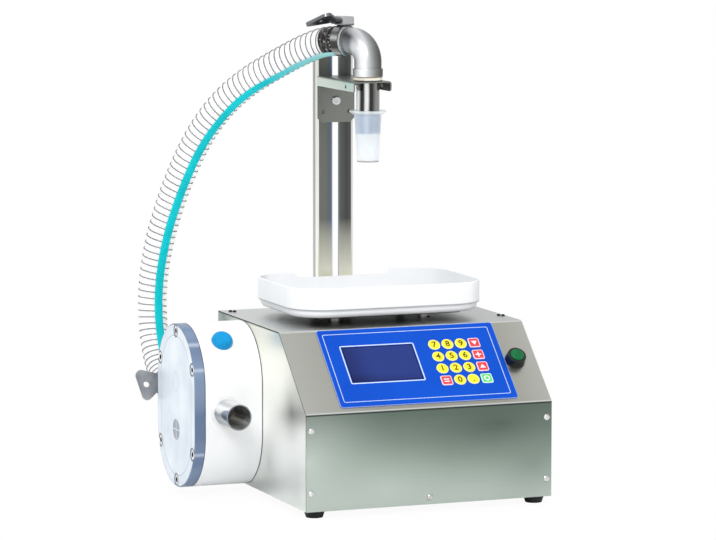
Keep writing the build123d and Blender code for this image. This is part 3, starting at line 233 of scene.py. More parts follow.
def steel(name, look, tone=metalTone):  # brushed or polished metal, its colour drawn by a tone function
    s = Surface(name)
    streak = s.streaked(look, 1.0)
    grey = s.ramp(streak, (0.25, 0.15), (0.75, 0.95))
    s.set(Base_Color=s.mix(look["streaks"], tone(s, look), grey, "SOFT_LIGHT"))
    return s


def banded(name, look, across, bands):  # polished round piece: painted reflections, bright and dark bands along it
    s = Surface(name)
    s.streaked(look, finish["bandMetal"])
    turned = s.vector("DOT_PRODUCT", s.facing, across)
    wave = s.add(turned, s.times(s.less(s.noise(look["cloud"]), 0.5), finish["bandWander"]))
    s.tone = s.ramp(s.span(wave, -1, 1), *bands)
    s.set(Base_Color=s.tone)
    return s


def plastic(name, look, tone=plasticTone):  # moulded or painted: faint mottling, fine texture
    s = Surface(name)
    grain = s.noise(look["grain"], (1, 1, 1), 3)
    s.set(Base_Color=tone(s, look), Specular_IOR_Level=look["specular"])
    s.set(Roughness=s.add(s.times(grain, finish["grainShare"]), look["rough"]))
    s.relief(grain, look["bump"], finish["grainDepth"], look["edge"])
    return s


# Hose: it follows the route of the solid, as one smooth spline
hoseLook = {
    "outerRadius": 0.0196, "ridge": 0.0002, "wireCircle": 0.0187, "wireRadius": 0.00072, "wirePitch": 0.0089,
    "coreRadius": 0.0178, "stripeWidth": 0.0118, "stripeTurns": (72, 56, 44, 33, 30, 29, 32, 40),
    "stripeLift": 0.00025, "stripeEdgeLift": 0.00005, "facing": (-0.36, -0.92, 0.13), "elbowTurn": 62.0,
    "elbowLeg": 0.033, "nozzleY": 0.050, "elbowZ": 0.574, "straight": 0.033, "gap": 0.0003,
    "pumpEnd": (-0.214, 0.1473, 0.1145), "rings": 360, "around": 36, "wireStart": 0.5, "wireSteps": 28,
    "wireSides": 6, "stripeAcross": 9, "blendLow": 0.14, "blendHigh": 0.55,
}
outward = Vector((-cos(radians(hoseLook["elbowTurn"])), sin(radians(hoseLook["elbowTurn"])), 0))
elbowMouth = Vector((0, hoseLook["nozzleY"], hoseLook["elbowZ"])) + outward * hoseLook["elbowLeg"]
hoseStart = elbowMouth + outward * hoseLook["gap"]
pumpEnd = Vector(hoseLook["pumpEnd"])
hoseMiddle = [
    (-0.0500, 0.1373, 0.5630),
    (-0.0760, 0.1715, 0.5425),
    (-0.1060, 0.2060, 0.5175),
    (-0.1315, 0.2306, 0.4895),
    (-0.1540, 0.2507, 0.4530),
    (-0.1730, 0.2670, 0.4085),
    (-0.1895, 0.2802, 0.3580),
    (-0.2035, 0.2905, 0.3030),
    (-0.2118, 0.2955, 0.2460),
    (-0.2139, 0.2910, 0.1930),
    (-0.2140, 0.2735, 0.1535),
    (-0.2138, 0.2465, 0.1270),
    (-0.2140, 0.2137, 0.1149),
]
route = [hoseStart, hoseStart + outward * hoseLook["straight"]]
route += [Vector(point) for point in hoseMiddle]
route += [pumpEnd + Vector((0, hoseLook["straight"], 0)), pumpEnd]


def splineLine(name, points):  # the points along a smooth spline with these control points
    curve = bpy.data.curves.new(name, "CURVE")
    curve.dimensions = "3D"
    spline = curve.splines.new("NURBS")
    spline.points.add(len(points) - 1)
    for target, point in zip(spline.points, points):
        target.co = (*(point + shift), 1)
    spline.order_u = 3
    spline.use_endpoint_u = True
    spline.resolution_u = 40
    holder = bpy.data.objects.new(name, curve)
    bpy.context.scene.collection.objects.link(holder)
    mesh = bpy.data.meshes.new_from_object(holder)
    line = [vertex.co.copy() for vertex in mesh.vertices]
    bpy.data.objects.remove(holder)
    bpy.data.meshes.remove(mesh)
    return line


def meshPiece(name, points, faces, surface, smooth=True):
    mesh = bpy.data.meshes.new(name)
    mesh.from_pydata([tuple(p) for p in points], [], faces)
    mesh.validate()
    if smooth:
        mesh.polygons.foreach_set("use_smooth", [True] * len(mesh.polygons))
    mesh.materials.append(surface.material)
    piece = bpy.data.objects.new(name, mesh)
    bpy.context.scene.collection.objects.link(piece)
    return piece


class Line:  # places and frames along a sampled line, by distance from its start
    def __init__(self, points, facing):
        self.points, self.facing = points, Vector(facing).normalized()
        self.steps = [0.0]
        for a, b in zip(points, points[1:]):
            self.steps.append(self.steps[-1] + (b - a).length)
        self.length = self.steps[-1]

    def at(self, distance):
        distance = min(max(distance, 0), self.length)
        low, high = 0, len(self.steps) - 1
        while high - low > 1:
            middle = (low + high) // 2
            low, high = (middle, high) if self.steps[middle] <= distance else (low, middle)
        share = (distance - self.steps[low]) / max(self.steps[high] - self.steps[low], 1e-9)
        return self.points[low].lerp(self.points[high], share)

    def frame(self, distance):  # place, the side that faces the viewer, and the side to its right
        reach = 0.0015
        along = (self.at(distance + reach) - self.at(distance - reach)).normalized()
        front = (self.facing - along * self.facing.dot(along)).normalized()
        return self.at(distance), front, front.cross(along)

    def on(self, distance, turn, radius):
        place, front, right = self.frame(distance)
        return place + (front * cos(turn) + right * sin(turn)) * radius


def gridFaces(rows, columns, closed):
    faces = []
    for row in range(0, (rows - 1) * columns, columns):
        for c in range(columns if closed else columns - 1):
            after = (c + 1) % columns
            faces.append((row + c, row + after, row + columns + after, row + columns + c))
    return faces


hoseLine = Line(splineLine("hoseLine", route), hoseLook["facing"])
print(f"stage: hose line {hoseLine.length:.4f} m")

skinLook = {
    "haze": 60, "dark": (0.90, 0.93, 0.93), "light": (0.97, 0.98, 0.98), "milk": 0.12, "milkSpread": 0.10,
    "clearTo": 0.034, "milkyFrom": 0.040, "bump": 0.1, "depth": 0.0003,
}
hoseSkin = Surface("hoseSkin")
haze = hoseSkin.noise(skinLook["haze"], (1, 1, 1), 2)
hoseSkin.set(Base_Color=hoseSkin.ramp(haze, (0.3, skinLook["dark"]), (0.7, skinLook["light"])))
milky = hoseSkin.add(hoseSkin.times(haze, skinLook["milkSpread"]), skinLook["milk"])
pastSleeve = hoseSkin.span(hoseSkin.along(elbowMouth, outward), skinLook["clearTo"], skinLook["milkyFrom"])
hoseSkin.set(Alpha=hoseSkin.times(milky, pastSleeve))
hoseSkin.set(Roughness=0.12, IOR=1.5, Coat_Weight=0.3, Coat_Roughness=0.05)
hoseSkin.relief(haze, skinLook["bump"], skinLook["depth"])

coreLook = {
    "haze": 45, "dark": (0.93, 0.94, 0.95), "light": (0.99, 0.99, 1.0), "milk": 0.55, "milkSpread": 0.16,
    "bump": 0.05, "depth": 0.0003,
}
hoseCore = Surface("hoseCore")
haze = hoseCore.noise(coreLook["haze"], (1, 1, 1), 2)
hoseCore.set(Base_Color=hoseCore.ramp(haze, (0.3, coreLook["dark"]), (0.7, coreLook["light"])))
hoseCore.set(Alpha=hoseCore.add(hoseCore.times(haze, coreLook["milkSpread"]), coreLook["milk"]), Roughness=0.4)
# painted light: the core glows faintly white, though it is no lamp
hoseCore.set(Emission_Color=(1, 1, 1), Emission_Strength=0.16)
hoseCore.relief(haze, coreLook["bump"], coreLook["depth"])

rings, around = hoseLook["rings"], hoseLook["around"]
tubePoints = []
corePoints = []
for i in range(rings + 1):
    distance = hoseLine.length * i / rings
    for k in range(around):
        phase = tau * (distance / hoseLook["wirePitch"] - k / around)
        radius = hoseLook["outerRadius"] + hoseLook["ridge"] * cos(phase)
        tubePoints.append(hoseLine.on(distance, tau * k / around, radius))
        corePoints.append(hoseLine.on(distance, tau * k / around, hoseLook["coreRadius"]))
hosePiece = meshPiece("hoseTube", tubePoints, gridFaces(rings + 1, around, True), hoseSkin)
corePiece = meshPiece("hoseCore", corePoints, gridFaces(rings + 1, around, True), hoseCore)

sleeveLook = {
    "from": 0.0135, "to": 0.037, "rows": 12, "radius": 0.0182, "grain": 330, "dark": (0.012, 0.011, 0.010),
    "light": (0.42, 0.42, 0.40), "darkTo": 0.56, "lightFrom": 0.66, "rough": 0.25, "roughSpread": 0.2,
}
sleeveSteel = Surface("hoseSleeve")
flecks = sleeveSteel.noise(sleeveLook["grain"], (1, 1, 1), 1)
fleckStops = (sleeveLook["darkTo"], sleeveLook["dark"]), (sleeveLook["lightFrom"], sleeveLook["light"])
sleeveSteel.set(Base_Color=sleeveSteel.ramp(flecks, *fleckStops), Metallic=0.3)
sleeveRough = sleeveSteel.times(flecks, sleeveLook["roughSpread"])
sleeveSteel.set(Roughness=sleeveSteel.add(sleeveRough, sleeveLook["rough"]))
sleevePoints = []
for i in range(sleeveLook["rows"] + 1):
    distance = sleeveLook["from"] + (sleeveLook["to"] - sleeveLook["from"]) * i / sleeveLook["rows"]
    sleevePoints += [hoseLine.on(distance, tau * k / around, sleeveLook["radius"]) for k in range(around)]
sleeveFaces = gridFaces(sleeveLook["rows"] + 1, around, True)
sleevePiece = meshPiece("hoseSleeve", sleevePoints, sleeveFaces, sleeveSteel)

wireSteel = plastic("hoseWire", {
    "grain": 90, "cloud": 25, "dark": (0.05, 0.038, 0.038), "light": (0.13, 0.11, 0.11), "rough": 0.4,
    "specular": 0.5, "bump": 0.02, "edge": 0,
})
perTurn, wireSides = hoseLook["wireSteps"], hoseLook["wireSides"]
turns = int(hoseLine.length / hoseLook["wirePitch"]) - 1
wirePoints = []
for i in range(turns * perTurn + 1):
    distance = hoseLook["wirePitch"] * (i / perTurn + hoseLook["wireStart"])
    turn = tau * i / perTurn
    place, front, right = hoseLine.frame(distance)
    radial = front * cos(turn) + right * sin(turn)
    along = right.cross(front)
    for k in range(wireSides):
        side = radial * cos(tau * k / wireSides) + along * sin(tau * k / wireSides)
        wirePoints.append(place + radial * hoseLook["wireCircle"] + side * hoseLook["wireRadius"])
wirePiece = meshPiece("hoseWire", wirePoints, gridFaces(turns * perTurn + 1, wireSides, True), wireSteel)

stripeLook = {
    "grain": 400, "cloud": 30, "dark": (0.0, 0.52, 0.57), "light": (0.0, 0.60, 0.65), "rough": 0.4,
    "specular": 0.2, "bump": 0.03, "edge": 0, "pale": (0.56, 0.80, 0.78), "paleFrom": 0.12, "paleTo": 0.035,
    "paleLow": 0.42, "paleHigh": 0.50, "paleShare": 0.6,
}


def stripeTone(s, look):  # teal, paler on the last stretch before the elbow
    nearElbow = s.span(s.along(elbowMouth, outward), look["paleFrom"], look["paleTo"])
    pale = s.times(nearElbow, s.span(s.z, look["paleLow"], look["paleHigh"]))
    return s.mix(s.times(pale, look["paleShare"]), plasticTone(s, look), look["pale"])


def eased(values, share):  # smooth value between evenly spaced ones
    place = share * (len(values) - 1)
    index = min(int(place), len(values) - 2)
    t = place - index
    return values[index] + (values[index + 1] - values[index]) * t * t * (3 - 2 * t)


stripePoints = []
across = hoseLook["stripeAcross"]
for i in range(rings + 1):
    share = i / rings
    middle = radians(eased(hoseLook["stripeTurns"], share))
    half = hoseLook["stripeWidth"] / hoseLook["outerRadius"] / 2
    for k in range(across):
        turn = middle + half * (2 * k / (across - 1) - 1)
        lift = hoseLook["stripeEdgeLift"] if k in (0, across - 1) else hoseLook["stripeLift"]
        stripePoints.append(hoseLine.on(hoseLine.length * share, turn, hoseLook["outerRadius"] + lift))
stripeSkin = plastic("hoseStripe", stripeLook, stripeTone)
stripePiece = meshPiece("hoseStripe", stripePoints, gridFaces(rings + 1, across, False), stripeSkin)
for piece in (hosePiece, corePiece, sleevePiece, wirePiece, stripePiece):
    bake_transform(piece)
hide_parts("hose")
print("stage: hose done")

# Cabinet: painted reflections and shade on the steel; spots are rows of place, reach, squash, share and tone,
# folds of height, width, rim and tone
sheetLook = {
    "grain": 9, "stretch": (0.5, 90, 90), "cloud": 5, "dark": tint(172, 172, 166), "light": tint(192, 192, 186),
    "streaks": 0.06, "rough": 0.30, "roughSpread": 0.05, "bump": 0.006, "edge": 0.0005,
    "seamShade": tint(52, 54, 54),
}
shellLook = {
    **sheetLook, "frontFoot": 0.009, "frontTop": 0.130, "halfWidth": 0.165,
    # painted reflection: the front darkens from its foot to its top
    "front": stops((0.0, 188, 198, 190), (0.45, 150, 163, 152), (1.0, 98, 112, 103)),
    # painted reflections and shade: light and dark patches on the front
    "frontReflectionSpots": (
        ((0.095, -0.164, 0.105), 0.12, (0.5, 1, 1.4), 0.85, tint(80, 93, 84)),
        ((0.140, -0.164, 0.055), 0.10, (1, 1, 1), 0.6, tint(122, 134, 125)),
        ((-0.06, -0.164, 0.030), 0.12, (1, 1, 1.6), 0.5, tint(196, 207, 198)),
        ((-0.165, -0.164, 0.07), 0.13, (1, 1, 1), 0.7, tint(206, 215, 206)),
    ),
    # painted reflection: the slope lighter towards both ends
    "slope": stops((0.0, 192, 193, 184), (0.3, 170, 168, 158), (0.8, 170, 168, 158), (1.0, 192, 193, 184)),
    # painted light and shade: the top lighter on the left, darker in a patch of painted shade
    "top": tint(198, 199, 198), "topLeftLight": tint(240, 241, 239), "topShadeTone": tint(150, 152, 148),
    "topFade": (-0.08, 0.10), "topShade": ((-0.04, -0.03, 0.221), 0.15, (0.9, 1.2, 1)), "topRim": (0.30, 0.42),
    # painted shade in the crease at the slope's foot, painted highlights along the bends
    "folds": (
        (0.1288, 0.0014, 0.0006, tint(52, 54, 54)),
        (0.1308, 0.0012, 0.0005, tint(226, 228, 224)),
        (0.2202, 0.0014, 0.0005, tint(226, 228, 224)),
    ),
}
sideLook = {
    **sheetLook, "stretch": (90, 0.5, 90), "rise": (0.02, 0.21),
    # painted reflection: the side panel's tone changes with height
    "side": stops((0.0, 236, 240, 236), (0.35, 255, 255, 252), (0.75, 250, 250, 242), (1.0, 228, 228, 216)),
    # painted reflections and shade: darker and lighter patches
    "spots": (
        ((-0.165, -0.112, 0.128), 0.052, (1, 1, 0.8), 0.85, tint(158, 162, 154)),
        ((-0.165, -0.145, 0.165), 0.07, (1, 1, 1), 0.75, tint(176, 176, 162)),
        ((-0.165, -0.030, 0.05), 0.06, (1, 1, 1), 0.5, tint(178, 182, 176)),
        ((-0.165, 0.140, 0.21), 0.10, (1, 1, 1), 0.9, tint(140, 139, 132)),
        ((-0.165, -0.130, 0.03), 0.07, (1, 1, 1), 0.5, tint(206, 212, 204)),
    ),
}


def shellTone(s, look):
    # painted reflections and shade stand in for what the steel mirrors
    front = s.ramp(s.span(s.z, look["frontFoot"], look["frontTop"]), *look["front"])
    front = s.spotted(front, look["frontReflectionSpots"])
    slopeTone = s.ramp(s.span(s.x, -look["halfWidth"], look["halfWidth"]), *look["slope"])
    topTone = s.mix(s.span(s.x, *look["topFade"]), look["topLeftLight"], look["top"])
    topTone = s.mix(s.span(s.spot(*look["topShade"]), *look["topRim"]), topTone, look["topShadeTone"])
    tone = s.mix(s.facingTo((0, -1, 0)), slopeTone, front)
    tone = s.mix(s.facingTo((0, 0, 1), 0.85, 0.95), tone, topTone)
    tone = s.mix(s.facingTo((0, 1, 0)), tone, look["light"])
    for height, width, rim, colour in look["folds"]:
        tone = s.mix(s.line(s.z, height, width, rim), tone, colour)
    # painted shade: the shell's edges that face sideways, in the joints beside the side panels, are near black
    sideEdgeShade = s.math("MAXIMUM", s.facingTo((1, 0, 0)), s.facingTo((-1, 0, 0)))
    return s.mix(sideEdgeShade, tone, look["seamShade"])


def sideTone(s, look):
    return s.spotted(s.ramp(s.span(s.z, *look["rise"]), *look["side"]), look["spots"])


dress(steel("cabinetSheet", shellLook, shellTone), "cabinet_shell")
dress(steel("backSheet", sheetLook), "back_panel", "base_plate")
dress(steel("sideSheet", sideLook, sideTone), "left_side_panel", "right_side_panel")
screwLook = {
    "grain": 300, "stretch": (1, 1, 1), "cloud": 60, "dark": tint(205, 205, 205), "light": tint(232, 232, 232),
    "streaks": 0.2, "rough": 0.14, "roughSpread": 0.1, "bump": 0.03, "edge": 0.0002,
    "darkAbove": (0.2, 0.201), "topTone": tint(46, 46, 46),
}


def screwTone(s, look):  # the screws on the top are dark
    return s.mix(s.span(s.z, *look["darkAbove"]), metalTone(s, look), look["topTone"])


dress(steel("screwSteel", screwLook), "clamp_bolt")
dress(steel("panelScrewSteel", screwLook, screwTone), "panel_screws")
rubberLook = {
    "grain": 500, "cloud": 80, "dark": tint(16, 17, 18), "light": tint(30, 31, 33), "rough": 0.55,
    "specular": 0.4, "bump": 0.2, "edge": 0.0006,
}
sealLook = {**rubberLook, "dark": tint(24, 24, 26), "light": tint(40, 40, 42)}
dress(plastic("footRubber", rubberLook), "rubber_feet")
dress(plastic("sealRubber", sealLook), "cover_gasket", "shaft_seal")

# Control panel: u runs to the right and v up the slope, from the middle of the slope's lower edge
panelLook = {
    "depth": 0.328, "slopeFoot": 0.130, "rise": 0.091, "run": 0.097,
    "overlayMiddle": (0.0025, 0.0696), "overlaySize": (0.239, 0.1236), "overlayCorner": 0.004,
    "frameMiddle": (0.0017, 0.0700), "frameSize": (0.2238, 0.1080), "frameCorner": 0.002, "frameWidth": 0.0008,
    "windowMiddle": (-0.043, 0.0744), "windowSize": (0.095, 0.056), "windowCorner": 0.003,
    "borderGap": 0.0018, "borderWidth": 0.0015, "rim": (-0.0009, -0.0004), "rimShare": 0.45,
    "blue": tint(0, 80, 200), "blueDark": tint(0, 74, 190), "line": tint(208, 224, 252),
    "keyFirst": (0.0340, 0.0412), "keyPitch": (0.0182, 0.0193), "keyTop": 0.0019,
}
slope = atan2(panelLook["rise"], panelLook["run"])


def onPanel(s):  # u and v of the surface's place
    rise = s.times(s.less(s.z, panelLook["slopeFoot"]), sin(slope))
    run = s.times(s.add(s.y, panelLook["depth"] / 2), cos(slope))
    return s.x, s.add(rise, run)


def panelPlace(u, v, high):  # place and turn of something that lies on the panel
    turn = Matrix.Rotation(slope, 4, "X")
    origin = Vector((0, -panelLook["depth"] / 2, panelLook["slopeFoot"])) + shift
    return Matrix.Translation(origin) @ turn @ Matrix.Translation((u, v, high))


overlay = Surface("overlayFilm")
u, v = onPanel(overlay)
film = overlay.ramp(overlay.noise(14, (1, 1, 1), 2), (0.3, panelLook["blueDark"]), (0.7, panelLook["blue"]))
corner = panelLook["overlayCorner"]
outer = overlay.rectangle(u, v, panelLook["overlayMiddle"], panelLook["overlaySize"], corner)
inner = overlay.rectangle(u, v, panelLook["frameMiddle"], panelLook["frameSize"], panelLook["frameCorner"])
border = overlay.rectangle(u, v, panelLook["windowMiddle"], panelLook["windowSize"], 0.0)
frameMark = overlay.line(inner, 0, panelLook["frameWidth"])
borderMark = overlay.line(border, panelLook["borderGap"], panelLook["borderWidth"])
rim = overlay.times(overlay.span(outer, *panelLook["rim"]), panelLook["rimShare"])
marks = overlay.math("MAXIMUM", overlay.math("MAXIMUM", frameMark, borderMark), rim)
overlay.set(Base_Color=overlay.mix(marks, film, panelLook["line"]), Specular_IOR_Level=0.12)
overlay.set(Roughness=overlay.ramp(overlay.noise(900), (0.3, 0.44), (0.7, 0.50)))
overlay.relief(overlay.noise(900), 0.05, 0.0001, 0.0003)
dress(overlay, "control_overlay")

paneLook = {
    "shadeAcross": (-0.088, -0.052), "shadeUp": (0.045, 0.062), "upShare": 0.8, "rim": (-0.0016, -0.0004),
    "tones": stops((0.1, 16, 26, 74), (0.8, 38, 56, 124)), "rimTone": tint(12, 14, 44),
    "fleck": tint(60, 66, 120), "fleckShare": 0.12,
}
window = Surface("displayPane")
u, v = onPanel(window)
edge = window.rectangle(u, v, panelLook["windowMiddle"], panelLook["windowSize"], panelLook["windowCorner"])
shadeUp = window.times(window.span(v, *paneLook["shadeUp"]), paneLook["upShare"])
shade = window.times(window.add(window.span(u, *paneLook["shadeAcross"]), shadeUp), 0.5)
pane = window.ramp(shade, *paneLook["tones"])
pane = window.mix(window.span(edge, *paneLook["rim"]), pane, paneLook["rimTone"])
pane = window.mix(window.times(window.noise(900), paneLook["fleckShare"]), pane, paneLook["fleck"])
window.set(Base_Color=pane, Specular_IOR_Level=0.12)
window.set(Roughness=window.ramp(window.noise(60), (0.3, 0.20), (0.7, 0.26)))
window.relief(window.noise(200), 0.02, 0.0001)
dress(window, "display_window")

# Keys
roundKey = {"size": 0.0158, "corner": 0.0079, "rim": (-0.0009, -0.0005)}
squareKey = {"size": 0.0150, "corner": 0.0026, "rim": (-0.0015, -0.0010)}
keyLook = {"cellOffset": 40.5, "shade": 0.9, "grain": 700, "cloud": 120}


def keyCap(name, shape, face, rim):  # the rim follows each key's own outline
    s = Surface(name)
    places = []
    for value, first, pitch in zip(onPanel(s), panelLook["keyFirst"], panelLook["keyPitch"]):
        cell = s.math("MODULO", s.less(value, first - keyLook["cellOffset"] * pitch), pitch)
        places.append(s.less(cell, pitch / 2))
    outline = s.rectangle(*places, (0, 0), (shape["size"], shape["size"]), shape["corner"])
    shaded = tuple(c * keyLook["shade"] for c in face)
    colour = s.ramp(s.noise(keyLook["cloud"], (1, 1, 1), 2), (0.3, shaded), (0.7, face))
    s.set(Base_Color=s.mix(s.span(outline, *shape["rim"]), colour, rim))
    s.set(Roughness=s.ramp(s.noise(keyLook["grain"]), (0.3, 0.32), (0.7, 0.42)))
    s.relief(s.noise(keyLook["grain"]), 0.05, 0.0001, 0.0003)
    return s


yellowKey = keyCap("keyYellow", roundKey, tint(250, 236, 40), tint(255, 250, 190))
redKey = keyCap("keyRed", squareKey, tint(226, 60, 70), tint(255, 214, 220))
greenKey = keyCap("keyGreen", squareKey, tint(90, 214, 120), tint(214, 255, 226))
keyMarks = ["red", "0", ".", "green", "1", "2", "3", "red", "4", "5", "6", "red", "7", "8", "9", "red"]
keySigns = {0: "bars", 3: "ring", 7: "up", 11: "cross", 15: "down"}  # plain signs, not letters
markLook = {"size": 0.0118, "thick": 0.00008, "lift": 0.00003, "bold": 0.00026}
signLook = {"inner": 2.6, "outer": 4.0, "ringSteps": 28, "millimetre": 0.001}
inkLook = {
    "grain": 900, "cloud": 90, "dark": tint(84, 66, 0), "light": tint(104, 84, 6), "rough": 0.45,
    "specular": 0.3, "bump": 0.02, "edge": 0,
}
inkSurface = plastic("keyInk", inkLook)
paleInk = plastic("palePrint", {**inkLook, "dark": tint(250, 232, 232), "light": tint(255, 246, 246)})


def block(left, low, right, high):  # outline of an upright rectangle
    return [(left, low), (right, low), (right, high), (left, high)]


def signFaces(kind):  # flat outlines of the plain signs, in millimetres
    if kind == "bars":
        return [block(-3.6, 1.0, 3.6, 2.6), block(-3.6, -2.6, 3.6, -1.0)]
    if kind == "up":
        return [[(-4.0, -2.6), (4.0, -2.6), (0, 3.6)]]
    if kind == "down":
        return [[(-4.0, 2.6), (0, -3.6), (4.0, 2.6)]]
    if kind == "cross":
        return [block(-4, -0.8, 4, 0.8), block(-0.8, 0.8, 0.8, 4), block(-0.8, -4, 0.8, -0.8)]
    small, large, count = signLook["inner"], signLook["outer"], signLook["ringSteps"]
    ring = [(cos(tau * k / count), sin(tau * k / count)) for k in range(count)]
    return [[(small * a, small * b), (large * a, large * b), (large * c, large * d), (small * c, small * d)]
            for (a, b), (c, d) in zip(ring, ring[1:] + ring[:1])]


def signPiece(name, kind, place):
    points, faces = [], []
    for outline in signFaces(kind):
        faces.append(tuple(range(len(points), len(points) + len(outline))))
        points += [place @ (Vector((a, b, 0)) * signLook["millimetre"]) for a, b in outline]
    return meshPiece(name, points, faces, paleInk, False)


def digitPiece(name, digit, place):
    text = bpy.data.curves.new(name, "FONT")
    text.body = digit
    text.size = markLook["size"]
    text.extrude = markLook["thick"] / 2
    text.offset = markLook["bold"]
    text.align_x, text.align_y = "CENTER", "CENTER"
    text.materials.append(inkSurface.material)
    piece = bpy.data.objects.new(name, text)
    bpy.context.scene.collection.objects.link(piece)
    piece.matrix_world = place
    return piece


for index, mark in enumerate(keyMarks):
    row, column = divmod(index, 4)
    number = f"{index + 1:02d}"
    dress({"red": redKey, "green": greenKey}.get(mark, yellowKey), f"key_{number}")
    u = panelLook["keyFirst"][0] + column * panelLook["keyPitch"][0]
    v = panelLook["keyFirst"][1] + row * panelLook["keyPitch"][1]
    place = panelPlace(u, v, panelLook["keyTop"] + markLook["lift"])
    if index in keySigns:
        piece = signPiece(f"sign{number}", keySigns[index], place)
    else:
        piece = digitPiece(f"digit{number}", mark, place)
    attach(piece, f"key_{number}")

blackLook = {
    "grain": 500, "cloud": 80, "dark": tint(8, 9, 10), "light": tint(16, 17, 18), "rough": 0.20,
    "specular": 0.5, "bump": 0.04, "edge": 0.0005,
}
capLook = {**blackLook, "dark": tint(0, 98, 50), "light": tint(2, 112, 62), "rough": 0.22, "specular": 0.25}
boardLook = {**blackLook, "dark": tint(18, 84, 40), "light": tint(30, 104, 52), "rough": 0.35}
dress(plastic("blackPlastic", blackLook), "start_button_housing", "power_inlet", "clamp_knob", "power_rocker")
dress(plastic("greenCap", capLook), "start_button_cap")
dress(plastic("boardGreen", boardLook), "control_board")
print("stage: cabinet and panel done")

# Scale and tray
trayLook = {
    "grain": 300, "cloud": 8, "dark": tint(240, 241, 242), "light": tint(247, 248, 249), "rough": 0.30,
    "specular": 0.45, "bump": 0.02, "edge": 0.0008, "shade": tint(150, 152, 156), "step": 0.2425,
    "stepWidth": 0.0016, "stepRim": 0.0008, "underside": (0.239, 0.232),
}


def trayTone(s, look):  # shaded at its ends, along its step and towards its underside
    shades = (
        s.times(s.facingTo((1, 0, 0), 0.5, 1.0), 0.5),
        s.times(s.facingTo((-1, 0, 0), 0.8, 1.0), 0.12),
        s.line(s.z, look["step"], look["stepWidth"], look["stepRim"]),
        s.times(s.span(s.z, *look["underside"]), 0.5),
    )
    tone = plasticTone(s, look)
    for share in shades:
        tone = s.mix(share, tone, look["shade"])
    return tone


dress(plastic("trayWhite", trayLook, trayTone), "weighing_tray")
dress(plastic("platformBlack", {**blackLook, "rough": 0.4}), "weighing_platform")
innerSteel = {**sheetLook, "stretch": (1, 1, 1), "grain": 60, "rough": 0.3}
cellLook = {**innerSteel, "dark": tint(196, 198, 202), "light": tint(212, 214, 218)}
dress(steel("scaleSteel", innerSteel), "load_spider", "scale_bridge", "power_supply")
dress(steel("cellAluminium", cellLook), "load_cell")

# Pump
whiteLook = {
    "grain": 240, "cloud": 6, "dark": tint(244, 245, 246), "light": tint(250, 251, 251), "rough": 0.34,
    "specular": 0.4, "bump": 0.03, "edge": 0.001, "joint": (-0.1660, -0.1655), "jointShadeTone": tint(58, 60, 60),
}


def housingTone(s, look):  # painted shade: a dark line where it stands on the side panel
    return s.mix(s.span(s.x, *look["joint"]), plasticTone(s, look), look["jointShadeTone"])


plugLook = {
    **whiteLook, "dark": tint(0, 140, 200), "light": tint(0, 152, 214), "cloud": 60, "rough": 0.3,
    "specular": 0.2,
}
motorLook = {**blackLook, "dark": tint(70, 72, 76), "light": tint(92, 94, 98), "rough": 0.45}
gearLook = {**innerSteel, "dark": tint(180, 182, 186), "light": tint(204, 206, 210), "rough": 0.22}
dress(plastic("pumpWhite", whiteLook, housingTone), "pump_housing")
dress(plastic("plugBlue", plugLook), "housing_plug")
dress(plastic("motorGrey", motorLook), "gearmotor")
dress(steel("gearSteel", gearLook), "drive_gear", "driven_gear", "drive_shaft")

# Pump cover: distances across and up are from the middle of the cover
coverLook = {
    "middle": (0.069, 0.1145), "straight": 0.030, "radius": 0.075, "line": tint(176, 184, 200),
    "face": tint(228, 235, 242), "faceDark": tint(204, 215, 224), "edge": tint(96, 116, 146),
    "edgeLight": tint(146, 164, 190), "inner": -0.0150, "innerWidth": 0.0012, "rimPlace": -0.0012,
    "rimWidth": 0.0014, "rimTone": tint(120, 128, 146), "upperDisc": 0.031, "upperRadius": 0.012,
    "upperShare": 0.6, "lowerDisc": -0.031, "lowerRadius": 0.0135, "discTone": tint(140, 146, 156),
    "discLine": tint(214, 220, 230), "bandPlaces": (0.054, 0.084, -0.054), "bandTone": tint(206, 214, 232),
    "boltRing": 0.0078, "ringWidth": 0.0020, "ringRim": 0.0004, "boltTone": tint(84, 90, 104),
    "bolts": ((0.0635, 0.054), (0.0635, -0.054), (-0.0635, 0.054), (-0.0635, -0.054), (0, 0.096), (0, -0.096)),
    "socket": tint(20, 22, 24), "socketRim": (0.0036, 0.0031), "alpha": 0.985,
}
cover = Surface("coverClear")
across = cover.less(cover.y, coverLook["middle"][0])
up = cover.less(cover.z, coverLook["middle"][1])
size = (2 * coverLook["radius"], 2 * (coverLook["radius"] + coverLook["straight"]))
outline = cover.rectangle(across, up, (0, 0), size, coverLook["radius"])
faceTone = cover.ramp(cover.noise(22, (1, 1, 1), 3), (0.3, coverLook["faceDark"]), (0.7, coverLook["face"]))
innerLine = cover.line(outline, coverLook["inner"], coverLook["innerWidth"])
faceTone = cover.mix(innerLine, faceTone, coverLook["line"])
rimLine = cover.line(outline, coverLook["rimPlace"], coverLook["rimWidth"])
faceTone = cover.mix(rimLine, faceTone, coverLook["rimTone"])
upperGap = cover.reach(across, cover.less(up, coverLook["upperDisc"]))
upperLine = cover.line(cover.less(upperGap, coverLook["upperRadius"]), 0, coverLook["innerWidth"])
faceTone = cover.mix(cover.times(upperLine, coverLook["upperShare"]), faceTone, coverLook["line"])
high = cover.less(up, coverLook["lowerDisc"])
lowerGap = cover.less(cover.reach(across, high), coverLook["lowerRadius"])
crossLines = [cover.line(distance, 0, coverLook["innerWidth"]) for distance in (across, high)]
lowerTone = cover.mix(cover.math("MAXIMUM", *crossLines), coverLook["discTone"], coverLook["discLine"])
faceTone = cover.mix(cover.span(lowerGap, 0.0004, -0.0004), faceTone, lowerTone)
